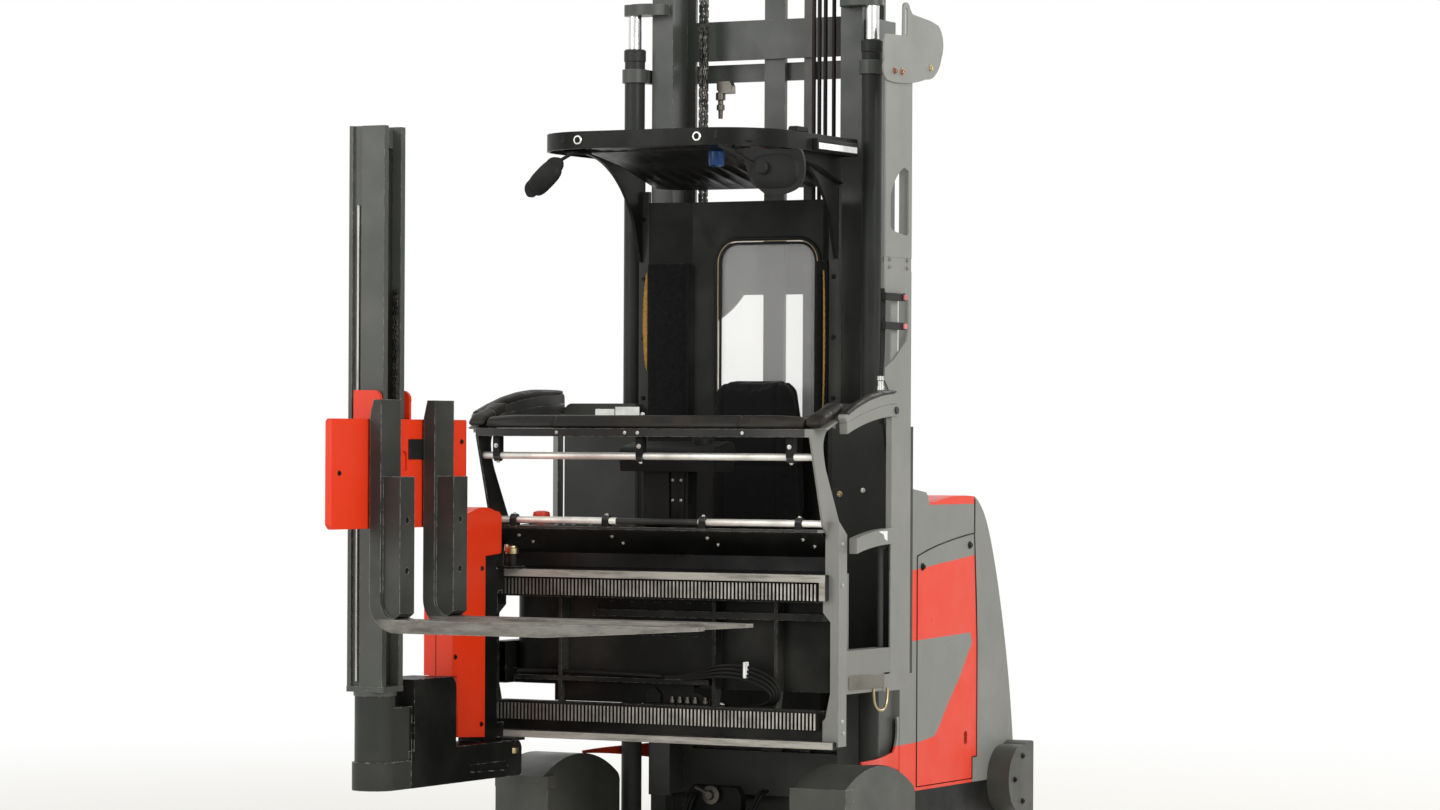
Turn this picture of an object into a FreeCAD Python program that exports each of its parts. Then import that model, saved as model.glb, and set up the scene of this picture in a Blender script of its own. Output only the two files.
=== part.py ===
import FreeCAD, Part
import math
import os

# A man-up turret truck. Millimetres, +Z up, ground at z = 0.
# The forks' end faces -Y, the truck's left side is +X, and X = 0 is the middle plane.
# Y = 0 is the front face of the moving mast stage.

V = FreeCAD.Vector

# ---- driving dimensions: plates and gaps -----------------------------------
plate = 12.0                # heavy steel plate
sheet = 4.0                 # cover sheet
cover_gap = 4.0             # joint between removable covers
run_gap = 8.0               # clearance beside anything that moves
slide_gap = 0.3             # running gap of rollers and slide pads

# ---- driving dimensions: chassis -------------------------------------------
chassis_half = 470.0        # half width of the body behind the mast
frame_bottom = 60.0         # ground clearance
frame_top = 285.0           # top of the base frame's side beams
body_rear = 1245.0          # rearmost point of the body
body_top = 1350.0           # crown of the rear body
front_cover_top = 1386.0    # top of the raised cover right behind the mast
front_cover_rear = 475.0
seam_top_y = 876.0          # seam between side covers and rear hood, at its top
seam_foot_y = 903.0         # and at its foot
seam_notch = 40.0           # step of the seam above the base frame
seam_notch_z = 376.0
panel_front = 383.0         # front edge of the side covers
panel_thick = 12.0
panel_top_front = 1131.0
panel_top_rear = 1207.0
fairing_front = 208.0       # front edge of the cheeks beside the mast
tail_tip_y = -254.0         # tip of the fairing's tail over the load wheel leg
tail_half = 560.0           # half width over the tails
tail_thick = 8.0
guard_out = 90.0            # rear corner guards, beyond the body
guard_bottom = 152.0
guard_height = 266.0
guard_length = 225.0
guard_rear = 1221.0
lug_x = 150.0               # lifting eye on the body's top
lug_y = 800.0
lug_hole = 13.0
mast_foot = 130.0           # top of the box that the mast stands on

# ---- driving dimensions: load wheel legs -----------------------------------
leg_half = 690.0            # half width over the legs
leg_width = 195.0
leg_front = -640.0          # nose plates
leg_rear = -90.0

# ---- driving dimensions: wheels --------------------------------------------
load_wheel_radius = 165.0
load_wheel_width = 110.0
load_axle_y = -365.0
leg_crown = 2 * load_wheel_radius + 100     # highest point of the arched cover over the wheel
leg_ledge = leg_crown - 66                  # top of the nose ledge
leg_tail_z = leg_crown - 80                 # where the arch meets its rear corner
tail_tip_z = leg_crown                      # the fairing's tail ends level with the arch
drive_wheel_radius = 175.0
drive_wheel_width = 130.0
drive_wheel_y = 900.0
bridge_z = 2 * drive_wheel_radius + 50      # plate that carries the steered drive wheel
tyre_bevel = 8.0
hub_recess = 22.0
axle_radius = 22.0
steer_radius = 90.0         # steering bearing in the bridge plate

# ---- driving dimensions: mast ----------------------------------------------
mast_half = 425.0           # outer edge of the moving stage
stage_flange = 85.0         # flange width of the moving stage
stage_depth = 190.0         # front to back of the moving stage
stage_thick = 14.0
stage_web = 12.0
stage_bottom = 260.0
stage_top = 3240.0
outer_web = 15.0            # web of the fixed uprights
outer_flange = 45.0
outer_front = 66.0          # front face of the fixed uprights
outer_depth = 150.0
outer_top = stage_top - 190
body_front = outer_front + outer_depth + stage_thick + 10   # front wall of the body behind the mast
cylinder_radius = 37.0
cylinder_x = 480.0
cylinder_y = -30.0
cylinder_top = stage_top - 273
rod_radius = 24.0
rod_bottom = 700.0
rod_sink = 135.0            # bore below the rod's lower end
crosshead_z = stage_top - 152
crosshead_height = 40.0

# ---- driving dimensions: hose carrier beside the cab -----------------------
cab_half = 700.0            # half width of the cab
carrier_x = cab_half        # outer face of the carrier plate
carrier_thick = 6.0
carrier_front = -370.0
carrier_rear = -161.0
carrier_bottom = 687.0
carrier_top = 2830.0
carrier_setback = 53.0      # front edge beside the gate stands back by this
gate_zone_bottom = 746.0
gate_zone_top = 1705.0

# ---- driving dimensions: operator's cab ------------------------------------
post_front = -716.0         # front posts
post_rear = -656.0
post_width = 52.0
post_bottom = 515.0
floor_z = 690.0             # underside of the cab floor
floor_thick = 50.0
floor_front = -600.0
floor_half = cab_half - 60
sill_top = 837.0            # side sills
sill_rear = -318.0
wall_y = -100.0             # front face of the rear wall's middle panel
wall = 20.0                 # thickness of the rear wall
wing_y = -165.0             # front face of the rear wall's wide lower wings
wing_half = cab_half - 10
wing_top = 1680.0
upper_half = 402.0          # half width of the narrow upper wall
upper_top = 2403.0
flange_width = 38.0         # upright flanges of the upper wall
flange_out = 32.0           # they stand in front of the middle panel
window_left = -104.0        # window opening
window_right = 314.0
window_bottom = 1560.0
window_top = 2270.0
window_corner = 85.0
glass_thick = 6.0
strut_x = cab_half - 44     # outer face of the leaning front struts
strut_thick = 8.0
bar_front = -844.0          # padded bar across the front
bar_depth = 84.0
bar_z = 1560.0
bar_height = 28.0
pad_height = 50.0
tube_radius = 11.0          # accessory tubes
high_tube_z = 1493.0
high_tube_y = -800.0
low_tube_z = 1268.0
low_tube_y = -735.0
panel_top_y = -745.0        # bent front panel
panel_top_z = 1238.0
panel_bend_y = -640.0
panel_bend_z = 1155.0
panel_foot_z = 1104.0
roof_z = 2550.0             # underside of the overhead guard
roof_height = 60.0
roof_half = 458.0
roof_front = -870.0
roof_corner = 235.0
roof_rim = 10.0
seat_z = 1150.0             # top of the seat pan
seat_x0 = -95.0
seat_x1 = 285.0

# ---- driving dimensions: side gates ----------------------------------------
gate_x = carrier_x + 6      # inner face of the gates, outside the hose carrier
gate_thick = 29.0
gate_front = -728.0
gate_pivot_z = 1655.0
gate_pivot_left = -352.0    # y of the hinge beside the hose carrier
gate_pivot_right = -150.0   # y of the hinge on the free side
gate_pin = 12.0
gate_pad_height = 34.0

# ---- driving dimensions: traverse ------------------------------------------
traverse_half = floor_half  # half length of the rails
traverse_front = -742.0     # front face of the rack teeth
rack_height = 56.0
rack_depth = 34.0
rack_pitch = 14.3
tooth_depth = 9.0
upper_rack_z = 1008.0
lower_rack_z = 571.0
guide_out = 6.0             # the guides stand in front of the teeth
upper_guide_z = upper_rack_z + rack_height + 6
upper_guide_height = 26.0
lower_guide_z = 508.0
lower_guide_height = 24.0
rail_wall = 14.0

# ---- driving dimensions: turret head ---------------------------------------
pivot_x = 32 - traverse_half                # swivel axis at the right end of the traverse
pivot_y = -1563.0
pivot_radius = 68.0         # swivel column
pivot_top = 690.0
band_radius = 76.0          # collar at the column's foot
band_height = 94.0
arm_half = 78.0             # half width of the arm under the rails
arm_bottom = 375.0
arm_top = 498.0
arm_rear = -731.0
drive_box_top = 740.0       # housing on the arm
drive_box_front = -1440.0
drive_box_rear = -1170.0
beam_x0 = pivot_x - 85      # upright beam beside the rails
beam_x1 = pivot_x + 18
beam_front = -890.0
beam_rear = -800.0
beam_top = 1235.0
cover_wall = 5.0
cover_x1 = beam_x1 + cover_wall             # drive cover in front of the beam
cover_width = 114.0
swivel_gap = 0.5
aux_width = 138.0           # lift mast of the forks, along the forks
aux_depth = 130.0
aux_back = 70.0             # its back lies this far behind the swivel axis
aux_bottom = 711.0
aux_top = 2591.0
aux_wall = 14.0
aux_web = 12.0
aux_head = 70.0

# ---- driving dimensions: forks ---------------------------------------------
fork_length = 1162.0
fork_width = 122.0
fork_thick = 44.0
fork_spread = 335.0         # middle to middle
fork_offset = 25.0          # middle of the pair, behind the swivel axis
fork_z = 910.0              # underside of the blades
fork_top = 1678.0
heel_radius = 60.0
tip_taper = 35.0
tip_length = 260.0
tip_thick = 12.0
fin_depth = 66.0            # backrest brackets in front of the shanks
fin_width = 89.0
fin_bottom = 963.0
fin_top = 1424.0
fin_wall = 12.0
fin_hole = 11.0
fin_hole_low = 1114.0
fin_hole_spacing = 166.0
carriage_half = 427.0
carriage_depth = 20.0
carriage_bottom = 1252.0
carriage_height = 362.0
cheek_top = 1710.0
cheek_gap = 20.0
hanger_gap = 8.0           # the shanks hang this far in front of the cover
fork_heel = aux_width - aux_back + run_gap + carriage_depth + hanger_gap + fork_thick   # front of the shanks


# ---- helpers ---------------------------------------------------------------
def box(x0, x1, y0, y1, z0, z1):
    return Part.makeBox(x1 - x0, y1 - y0, z1 - z0, V(x0, y0, z0))


def cylinder_x_axis(radius, x0, x1, y, z):
    return Part.makeCylinder(radius, x1 - x0, V(x0, y, z), V(1, 0, 0))


def cylinder_y_axis(radius, y0, y1, x, z):
    return Part.makeCylinder(radius, y1 - y0, V(x, y0, z), V(0, 1, 0))


def cylinder_z_axis(radius, z0, z1, x, y):
    return Part.makeCylinder(radius, z1 - z0, V(x, y, z0))


def fuse(solids):
    solids = list(solids)
    result = solids[0].multiFuse(solids[1:]) if len(solids) > 1 else solids[0]
    return result.removeSplitter()


def mirror(shape):
    return shape.mirror(V(0, 0, 0), V(1, 0, 0))


def both_sides(shape):
    return [shape, mirror(shape)]


def outline_face(place, outline):
    """Face inside a closed outline. Two numbers are the end of a straight edge,
    four numbers are a point on an arc and the arc's end."""
    edges = []
    here = place(*outline[0])
    for entry in outline[1:] + [outline[0]]:
        end = place(*entry[-2:])
        if len(entry) == 4:
            edges.append(Part.Arc(here, place(*entry[:2]), end).toShape())
        elif (end - here).Length > 1e-6:
            edges.append(Part.LineSegment(here, end).toShape())
        here = end
    return Part.Face(Part.Wire(edges))


def side_plate(outline, x0, x1):
    """Extrude a closed outline of (y, z) points from x0 to x1."""
    return outline_face(lambda y, z: V(x0, y, z), outline).extrude(V(x1 - x0, 0, 0))


def front_plate(outline, y0, y1):
    """Extrude a closed outline of (x, z) points from y0 to y1."""
    return outline_face(lambda x, z: V(x, y0, z), outline).extrude(V(0, y1 - y0, 0))


def plan_plate(outline, z0, z1):
    """Extrude a closed outline of (x, y) points from z0 to z1."""
    return outline_face(lambda x, y: V(x, y, z0), outline).extrude(V(0, 0, z1 - z0))


def round_edges(shape, radius, axis, keep=lambda bounds: True):
    """Fillet the straight edges that run along one axis, where keep allows."""
    picked = []
    for edge in shape.Edges:
        straight = edge.Curve.TypeId == "Part::GeomLine"
        if straight and abs(edge.tangentAt(edge.FirstParameter).dot(axis)) > 0.999 and keep(edge.BoundBox):
            picked.append(edge)
    return shape.makeFillet(radius, picked)


def rod(points, radius):
    """A round bar along straight runs with ball joints at its bends."""
    pieces = []
    for start, end in zip(points, points[1:]):
        run = end.sub(start)
        pieces.append(Part.makeCylinder(radius, run.Length, start, run))
    for before, bend, after in zip(points, points[1:], points[2:]):
        along = bend.sub(before).normalize() + after.sub(bend).normalize()
        pieces.append(Part.makeSphere(radius, bend, along))
    return fuse(pieces)


def bent_strip(points, thickness):
    """Closed (a, b) outline of a strip of sheet that follows straight runs, grown to one side."""
    offset = []
    for index, point in enumerate(points):
        runs = []
        for a, b in ((index - 1, index), (index, index + 1)):
            if a >= 0 and b < len(points):
                run = V(points[b][0] - points[a][0], points[b][1] - points[a][1], 0).normalize()
                runs.append(V(-run.y, run.x, 0))
        normal = sum(runs[1:], runs[0]).normalize()
        grow = thickness / normal.dot(runs[0])
        offset.append((point[0] + normal.x * grow, point[1] + normal.y * grow))
    return list(points) + offset[::-1]


def save(name, shapes):
    shapes = shapes if isinstance(shapes, list) else [shapes]
    shape = shapes[0] if len(shapes) == 1 else Part.makeCompound(shapes)
    shape.exportStep("parts/%s.step" % name)


# ---- chassis ---------------------------------------------------------------
def chassis_frame():
    """Base frame: side beams, battery floor, mast foot, drive bridge and rear beam."""
    beam_rear = body_rear - 60
    floor_rear = drive_wheel_y - drive_wheel_radius - 75
    inner = chassis_half - plate
    sides = both_sides(box(inner, chassis_half, body_front - 10, beam_rear, frame_bottom, frame_top))
    floor = box(-inner, inner, body_front - 10, floor_rear, frame_bottom, frame_bottom + plate)
    cross = box(-inner, inner, floor_rear - plate, floor_rear, frame_bottom, frame_bottom + 120)
    foot_half = cylinder_x + cylinder_radius + 8
    foot = box(-foot_half, foot_half, cylinder_y - cylinder_radius - 8, body_front - 10,
               frame_bottom, mast_foot)
    foot = round_edges(foot, 18, V(0, 0, 1))
    leg_inner = leg_half - leg_width
    arms = both_sides(box(leg_inner - 90, leg_inner, load_axle_y + 60, cylinder_y - cylinder_radius,
                          frame_bottom, mast_foot))
    y0 = drive_wheel_y - 130
    y1 = drive_wheel_y + 130
    gusset = side_plate([(y0 - 40, frame_top - 150), (y1 + 40, frame_top - 150), (y1, bridge_z + plate),
                         (y0, bridge_z + plate)], inner - plate, inner)
    bridge = box(-inner + plate, inner - plate, y0, y1, bridge_z, bridge_z + plate)
    bridge = bridge.cut(cylinder_z_axis(steer_radius + 1, bridge_z - 1, bridge_z + plate + 1, 0, drive_wheel_y))
    rear = box(-chassis_half, chassis_half, beam_rear, beam_rear + 20, frame_bottom, frame_top)
    return fuse(sides + [floor, cross, foot, bridge, rear] + arms + both_sides(gusset))


def leg_profile(inset):
    """Side outline of a load wheel leg: straight nose, shallow arch, round rear corner."""
    front = leg_front + inset
    rear = leg_rear - inset
    crown = leg_crown - inset
    shoulder = leg_tail_z - inset
    return [(front, frame_bottom), (front, leg_ledge - inset),
            (load_axle_y - 10, crown, rear - 22, shoulder), (rear - 4, shoulder - 18, rear, shoulder - 44),
            (rear, frame_bottom)]


def load_leg():
    """Load wheel leg on the +X side: two cheeks, an arched skin, the nose and its ledge."""
    inner = leg_half - leg_width
    cheeks = [side_plate(leg_profile(0), inner, inner + plate),
              side_plate(leg_profile(0), leg_half - plate, leg_half)]
    skin = side_plate(leg_profile(0), inner + plate, leg_half - plate)
    hollow = side_plate(leg_profile(plate), inner, leg_half)
    open_foot = box(inner, leg_half, leg_front + plate, leg_rear - plate, 0, leg_ledge - 60)
    skin = skin.cut(hollow).cut(open_foot)
    ledge_depth = 60.0
    ledge_height = 42.0
    ledge = box(inner - 17, leg_half + 2, leg_front, leg_front + ledge_depth, leg_ledge - ledge_height, leg_ledge)
    ledge = ledge.cut(box(inner + plate, leg_half - plate, leg_front + plate, leg_front + ledge_depth + 1,
                          leg_ledge - ledge_height - 1, leg_ledge - plate))
    toe = box(inner - 17, inner, leg_front, leg_front + plate, frame_bottom, leg_ledge - ledge_height)
    pin = cylinder_x_axis(axle_radius, inner + plate, leg_half - plate, load_axle_y, load_wheel_radius)
    return fuse(cheeks + [skin, ledge, toe, pin])


def wheel(radius, width, x_middle, y):
    """Solid tyre with bevelled shoulders, a recessed hub on both sides and its bore."""
    x0 = x_middle - width / 2
    x1 = x_middle + width / 2
    hub = radius - 45
    half_profile = [(x0, axle_radius + slide_gap), (x0 + hub_recess, axle_radius + slide_gap),
                    (x0 + hub_recess, hub - 12), (x0, hub), (x0, radius - tyre_bevel),
                    (x0 + tyre_bevel, radius), (x1 - tyre_bevel, radius), (x1, radius - tyre_bevel),
                    (x1, hub), (x1 - hub_recess, hub - 12), (x1 - hub_recess, axle_radius + slide_gap)]
    face = outline_face(lambda x, r: V(x, y, radius + r), half_profile[1:])
    return face.revolve(V(0, y, radius), V(1, 0, 0), 360)


def drive_steer():
    """Steered fork of the drive wheel with its upright motor."""
    half = drive_wheel_width / 2
    crown_z = 2 * drive_wheel_radius + 12
    crown = box(-half - 34, half + 34, drive_wheel_y - 70, drive_wheel_y + 70, crown_z, crown_z + 22)
    cheek = side_plate([(drive_wheel_y - 70, crown_z), (drive_wheel_y - 40, drive_wheel_radius),
                        (drive_wheel_y, drive_wheel_radius - 40, drive_wheel_y + 40, drive_wheel_radius),
                        (drive_wheel_y + 70, crown_z)], half + 12, half + 34)
    pin = cylinder_x_axis(axle_radius, -half - 34, half + 34, drive_wheel_y, drive_wheel_radius)
    seat = bridge_z + plate
    profile = [(0, crown_z + 20), (steer_radius, crown_z + 20), (steer_radius, seat + slide_gap),
               (steer_radius + 30, seat + slide_gap), (steer_radius + 30, seat + 300),
               (steer_radius + 10, seat + 325), (steer_radius - 20, seat + 345), (0, seat + 345)]
    motor = outline_face(lambda r, z: V(r, drive_wheel_y, z), profile)
    motor = motor.revolve(V(0, drive_wheel_y, 0), V(0, 0, 1), 360)
    return fuse([crown, motor, pin] + both_sides(cheek))


def battery():
    return box(-chassis_half + 50, chassis_half - 50, body_front + 25, drive_wheel_y - 265,
               frame_bottom + plate, frame_bottom + plate + 780)


def body_profile(inset):
    """Closed side profile of the rear body, moved inwards by a wall."""
    top = body_top - inset
    front = body_front + inset
    rear = body_rear - inset
    raised = front_cover_top - inset
    rise = front_cover_rear - inset
    front_edges = [(front, frame_top), (front, raised - 20), (front + 6, raised - 6, front + 20, raised),
                   (rise - 40, raised - 20), (rise - 8, raised - 34, rise, raised - 54),
                   (rise + 40, body_top - 24 - inset)]
    place = lambda y, z: V(0, y, z)
    edges = []
    here = place(*front_edges[0])
    for entry in front_edges[1:]:
        end = place(*entry[-2:])
        curve = Part.Arc(here, place(*entry[:2]), end) if len(entry) == 4 else Part.LineSegment(here, end)
        edges.append(curve.toShape())
        here = end
    crown = Part.Arc(here, place(700, top - 2), place(seam_top_y, top - 5))
    back = Part.BSplineCurve()
    back.interpolate([place(seam_top_y, top - 5), place(957, 1284 - inset), place(1029 - inset, 1163),
                      place(1119 - inset, 920), place(1202 - inset, 595), place(rear, frame_top)])
    foot = Part.LineSegment(place(rear, frame_top), place(front, frame_top))
    return Part.Face(Part.Wire(edges + [crown.toShape(), back.toShape(), foot.toShape()]))


def body_shell():
    outer = body_profile(0).extrude(V(2 * chassis_half, 0, 0)).translated(V(-chassis_half, 0, 0))
    inner = body_profile(sheet).extrude(V(2 * (chassis_half - sheet), 0, 0))
    return outer.cut(inner.translated(V(-chassis_half + sheet, 0, -1)))


def seam_outline(shift, y_far):
    """Outline of all that lies behind the seam of the rear hood, moved along Y."""
    foot = seam_foot_y + shift
    return [(y_far, 0), (foot - seam_notch, 0), (foot - seam_notch, seam_notch_z - shift),
            (foot, seam_notch_z - shift), (foot, 800), (seam_top_y + shift, panel_top_rear),
            (seam_top_y + shift, body_top + 100), (y_far, body_top + 100)]


def side_panel_outline(grow):
    """Outline of a side cover: straight front edge, rising top edge, stepped rear seam."""
    foot = seam_foot_y - cover_gap + grow
    notch_z = seam_notch_z + cover_gap - grow
    middle_y = (panel_front + seam_top_y) / 2
    middle_z = (panel_top_front + panel_top_rear) / 2 + 10
    return [(panel_front - grow, frame_top + 15 - grow), (panel_front - grow, panel_top_front + grow),
            (middle_y, middle_z + grow, seam_top_y - cover_gap + grow, panel_top_rear + grow),
            (foot, 800), (foot, notch_z), (foot - seam_notch, notch_z),
            (foot - seam_notch, frame_top + 15 - grow)]


def fairing():
    """Cheek beside the mast that runs out in a low tail outside the lift cylinder."""
    inner = chassis_half - tail_thick
    low_z = 530.0
    cheek = side_plate([(fairing_front, low_z), (fairing_front, front_cover_top - 60),
                        (body_front, front_cover_top - 20), (body_front + 30, front_cover_top - 20),
                        (body_front + 30, frame_top), (panel_front - cover_gap, frame_top),
                        (panel_front - cover_gap, low_z)], inner, chassis_half)
    outer = Part.BSplineCurve()
    route = [V(chassis_half, panel_front - cover_gap, 0), V(chassis_half, fairing_front + 20, 0),
             V(chassis_half + 42, 70, 0), V(tail_half - 8, -90, 0), V(tail_half, tail_tip_y, 0)]
    outer.interpolate(route)
    inside = Part.BSplineCurve()
    inside.interpolate([point - V(tail_thick, 0, 0) for point in route])
    ends = [Part.LineSegment(route[-1], route[-1] - V(tail_thick, 0, 0)),
            Part.LineSegment(route[0], route[0] - V(tail_thick, 0, 0))]
    band = Part.Face(Part.Wire([outer.toShape(), ends[0].toShape(), inside.toShape(), ends[1].toShape()]))
    band = band.extrude(V(0, 0, low_z)).translated(V(0, 0, 100))
    y_end = panel_front - cover_gap
    tail = side_plate([(fairing_front, low_z + 30), (fairing_front - 14, low_z - 70, fairing_front - 90, low_z - 92),
                       (tail_tip_y, tail_tip_z), (tail_tip_y + 4, tail_tip_z - 10),
                       (-20, 404, 225, 371), (300, 340, y_end - 20, frame_top), (y_end, frame_top),
                       (y_end, low_z + 30)], chassis_half - 40, tail_half + 20)
    return fuse([cheek, band.common(tail)])


def body_covers():
    """Front cover with its fairings, and the rear hood, cut from one shell along the seam."""
    shell = body_shell()
    cut_side = side_plate(side_panel_outline(cover_gap), chassis_half - 30, chassis_half + 1)
    shell = shell.cut(cut_side).cut(mirror(cut_side))
    wide = chassis_half + 1
    hood = shell.common(side_plate(seam_outline(0, body_rear + 1), -wide, wide))
    front = shell.cut(side_plate(seam_outline(-cover_gap, body_rear + 1), -wide, wide))
    return fuse([front] + both_sides(fairing())), hood


def side_panel():
    """Removable side cover with its grip hole."""
    panel = side_plate(side_panel_outline(0), chassis_half - panel_thick, chassis_half)
    grip = cylinder_x_axis(15, 0, chassis_half + 1, 804, 442)
    grip = grip.fuse(cylinder_x_axis(15, 0, chassis_half + 1, 804, 462))
    return panel.cut(grip)


def rear_guard():
    """Round-nosed guard low on the body's rear corner, with a round outer edge."""
    z0 = guard_bottom
    z1 = guard_bottom + guard_height
    outline = [(guard_rear, z0), (guard_rear, z1), (guard_rear - 30, z1 + 6, guard_rear - 80, z1 - 8),
               (guard_rear - guard_length, (z0 + z1) / 2, guard_rear - 80, z0 + 2)]
    return side_plate(outline, chassis_half, chassis_half + guard_out)


def lifting_lug():
    z = body_top - 10
    eye_z = body_top + 36
    lug = side_plate([(lug_y - 30, z), (lug_y - 30, eye_z), (lug_y, eye_z + 30, lug_y + 30, eye_z),
                      (lug_y + 30, z)], lug_x - 11, lug_x + 11)
    crown = body_profile(-slide_gap).extrude(V(lug_x + 30, 0, 0))
    return lug.cut(crown).cut(cylinder_x_axis(lug_hole, lug_x - 20, lug_x + 20, lug_y, eye_z))


# ---- mast ------------------------------------------------------------------
def c_upright(x_web, web, flange, y0, depth, thick, z0, z1):
    """Upright with its web outboard and both flanges pointing to the middle."""
    outline = [(x_web + web, y0), (x_web + web, y0 + depth), (x_web - flange, y0 + depth),
               (x_web - flange, y0 + depth - thick), (x_web, y0 + depth - thick), (x_web, y0 + thick),
               (x_web - flange, y0 + thick), (x_web - flange, y0)]
    return plan_plate(outline, z0, z1)


def i_upright(x_out, flange, web_x, web, y0, depth, thick, z0, z1):
    x_in = x_out - flange
    outline = [(x_in, y0), (x_out, y0), (x_out, y0 + thick), (web_x + web, y0 + thick),
               (web_x + web, y0 + depth - thick), (x_out, y0 + depth - thick), (x_out, y0 + depth),
               (x_in, y0 + depth), (x_in, y0 + depth - thick), (web_x, y0 + depth - thick),
               (web_x, y0 + thick), (x_in, y0 + thick)]
    return plan_plate(outline, z0, z1)


def haunched_beam(half, inner, y0, z0, z1, haunch_x, haunch_z):
    """Cross beam whose lower edge curves down to deep haunches at the uprights."""
    bend_x = haunch_x + (inner - haunch_x) * 0.35
    bend_z = z0 - (z0 - haunch_z) * 0.6
    outline = [(-half, haunch_z), (-half, z1), (half, z1), (half, haunch_z), (inner, haunch_z),
               (bend_x, bend_z, haunch_x, z0), (-haunch_x, z0), (-bend_x, bend_z, -inner, haunch_z)]
    return front_plate(outline, y0, y0 + stage_thick)


def outer_mast():
    """Fixed uprights with their cross beams and the clamps of the lift cylinders."""
    x_web = mast_half + run_gap + 4
    x_out = x_web + outer_web
    uprights = both_sides(c_upright(x_web, outer_web, outer_flange, outer_front, outer_depth,
                                    stage_thick, mast_foot, outer_top))
    y0 = outer_front + outer_depth
    beams = [box(-x_out, x_out, y0, y0 + stage_thick, z0, z1)
             for z0, z1 in ((mast_foot, 420), (outer_top - 193, outer_top - 128))]
    beams.append(haunched_beam(x_out, x_web - outer_flange, y0, 2080, 2270, 163, 1950))
    clamps = []
    for z in (1200, cylinder_top - 122):
        ring = cylinder_z_axis(cylinder_radius + 9, z, z + 49, cylinder_x, cylinder_y)
        arm = plan_plate([(x_web, outer_front + 4), (x_web, cylinder_y + 20), (cylinder_x, cylinder_y + 40),
                          (x_out + 10, outer_front - 30), (x_out, outer_front + 4)], z, z + 49)
        ring = ring.fuse(arm).cut(cylinder_z_axis(cylinder_radius, z - 1, z + 50, cylinder_x, cylinder_y))
        clamps += both_sides(ring)
    return fuse(uprights + beams + clamps)


def lift_cylinder():
    """Barrel with its wider gland nut, turned as one profile with the bore for the rod."""
    bore = rod_radius + slide_gap
    nut = cylinder_top - 46
    profile = [(0, mast_foot), (cylinder_radius, mast_foot), (cylinder_radius, nut),
               (cylinder_radius + 3, nut + 4), (cylinder_radius + 3, cylinder_top - 5),
               (cylinder_radius - 2, cylinder_top), (bore, cylinder_top), (bore, rod_bottom - rod_sink),
               (0, rod_bottom - rod_sink)]
    face = outline_face(lambda r, z: V(cylinder_x + r, cylinder_y, z), profile)
    return face.revolve(V(cylinder_x, cylinder_y, 0), V(0, 0, 1), 360)


def moving_stage():
    """Moving mast stage with its cross beams, the two slats and the rods' crossheads."""
    web_x = mast_half - 50
    parts = both_sides(i_upright(mast_half, stage_flange, web_x, stage_web, 0, stage_depth,
                                 stage_thick, stage_bottom, stage_top))
    inner = mast_half - stage_flange
    for z0, z1 in ((stage_bottom, 420), (stage_top - 306, stage_top - 163)):
        parts.append(box(-inner, inner, stage_depth - stage_thick, stage_depth, z0, z1))
    pad_rear = outer_front + outer_depth - stage_thick - slide_gap
    for z in (300, 1000):
        parts += both_sides(box(mast_half - 25, mast_half - 1, stage_depth, pad_rear, z, z + 120))
    for x0, x1 in ((-63, 20), (98, 134)):
        parts.append(box(x0, x1, stage_depth, stage_depth + 20, 300, stage_top))
    reach = rod_radius + 16
    crosshead = plan_plate([(mast_half - 70, 0), (mast_half - 70, cylinder_y - 10),
                            (mast_half - 40, cylinder_y - reach, cylinder_x, cylinder_y - reach),
                            (cylinder_x + reach, cylinder_y, cylinder_x, cylinder_y + reach),
                            (mast_half, cylinder_y + reach), (mast_half, 0)],
                           crosshead_z, crosshead_z + crosshead_height)
    boss = cylinder_y_axis(22, cylinder_y - 10, 0, mast_half - 48, crosshead_z + crosshead_height / 2)
    return fuse(parts + both_sides(crosshead) + both_sides(boss))


def lift_rod():
    return cylinder_z_axis(rod_radius, rod_bottom, crosshead_z, cylinder_x, cylinder_y)


# ---- hose carrier beside the cab -------------------------------------------
def hose_carrier():
    """Tall plate on the cab's left with its hose cut-outs, rear flange and pulley plate."""
    x0 = carrier_x - carrier_thick
    front = carrier_front
    gate = carrier_front + carrier_setback
    rear = carrier_rear
    face = side_plate([(front, carrier_bottom), (front, gate_zone_bottom), (gate - 4, gate_zone_bottom),
                       (gate - 1, gate_zone_bottom + 1, gate, gate_zone_bottom + 4), (gate, gate_zone_top),
                       (front, gate_zone_top + carrier_setback), (front, carrier_top),
                       (rear, carrier_top), (rear, carrier_bottom)], x0, carrier_x)
    upper = side_plate([(rear - 23, 2486), (rear - 23, 2277), (rear - 34, 2266, rear - 50, 2263),
                        (rear - 153, 2277), (rear - 169, 2291), (rear - 169, 2400),
                        (rear - 120, 2465, rear - 62, 2499)], x0 - 1, carrier_x + 1)
    lower = side_plate([(front - 1, 2060), (rear - 77, 2060), (rear - 32, 2050, rear - 22, 2020),
                        (rear - 22, 1937), (rear - 38, 1899), (rear - 138, 1831), (front - 1, 1800)],
                       x0 - 1, carrier_x + 1)
    splice = side_plate([(front - 1, 2140), (front - 1, 2185), (rear + 1, 2185), (rear + 1, 2140)],
                        carrier_x - 1.5, carrier_x + 1)
    stringers = [box(carrier_x - 45, x0, wing_y - carrier_thick, wing_y, z0, z1)
                 for z0, z1 in ((carrier_bottom, 1150), (wing_top + 25, carrier_top))]
    bridge = box(x0 - carrier_thick, x0, gate + 10, gate + 60, 1760, 2100)
    return fuse([face.cut(upper).cut(lower).cut(splice), bridge, pulley_plate()] + stringers)


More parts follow.
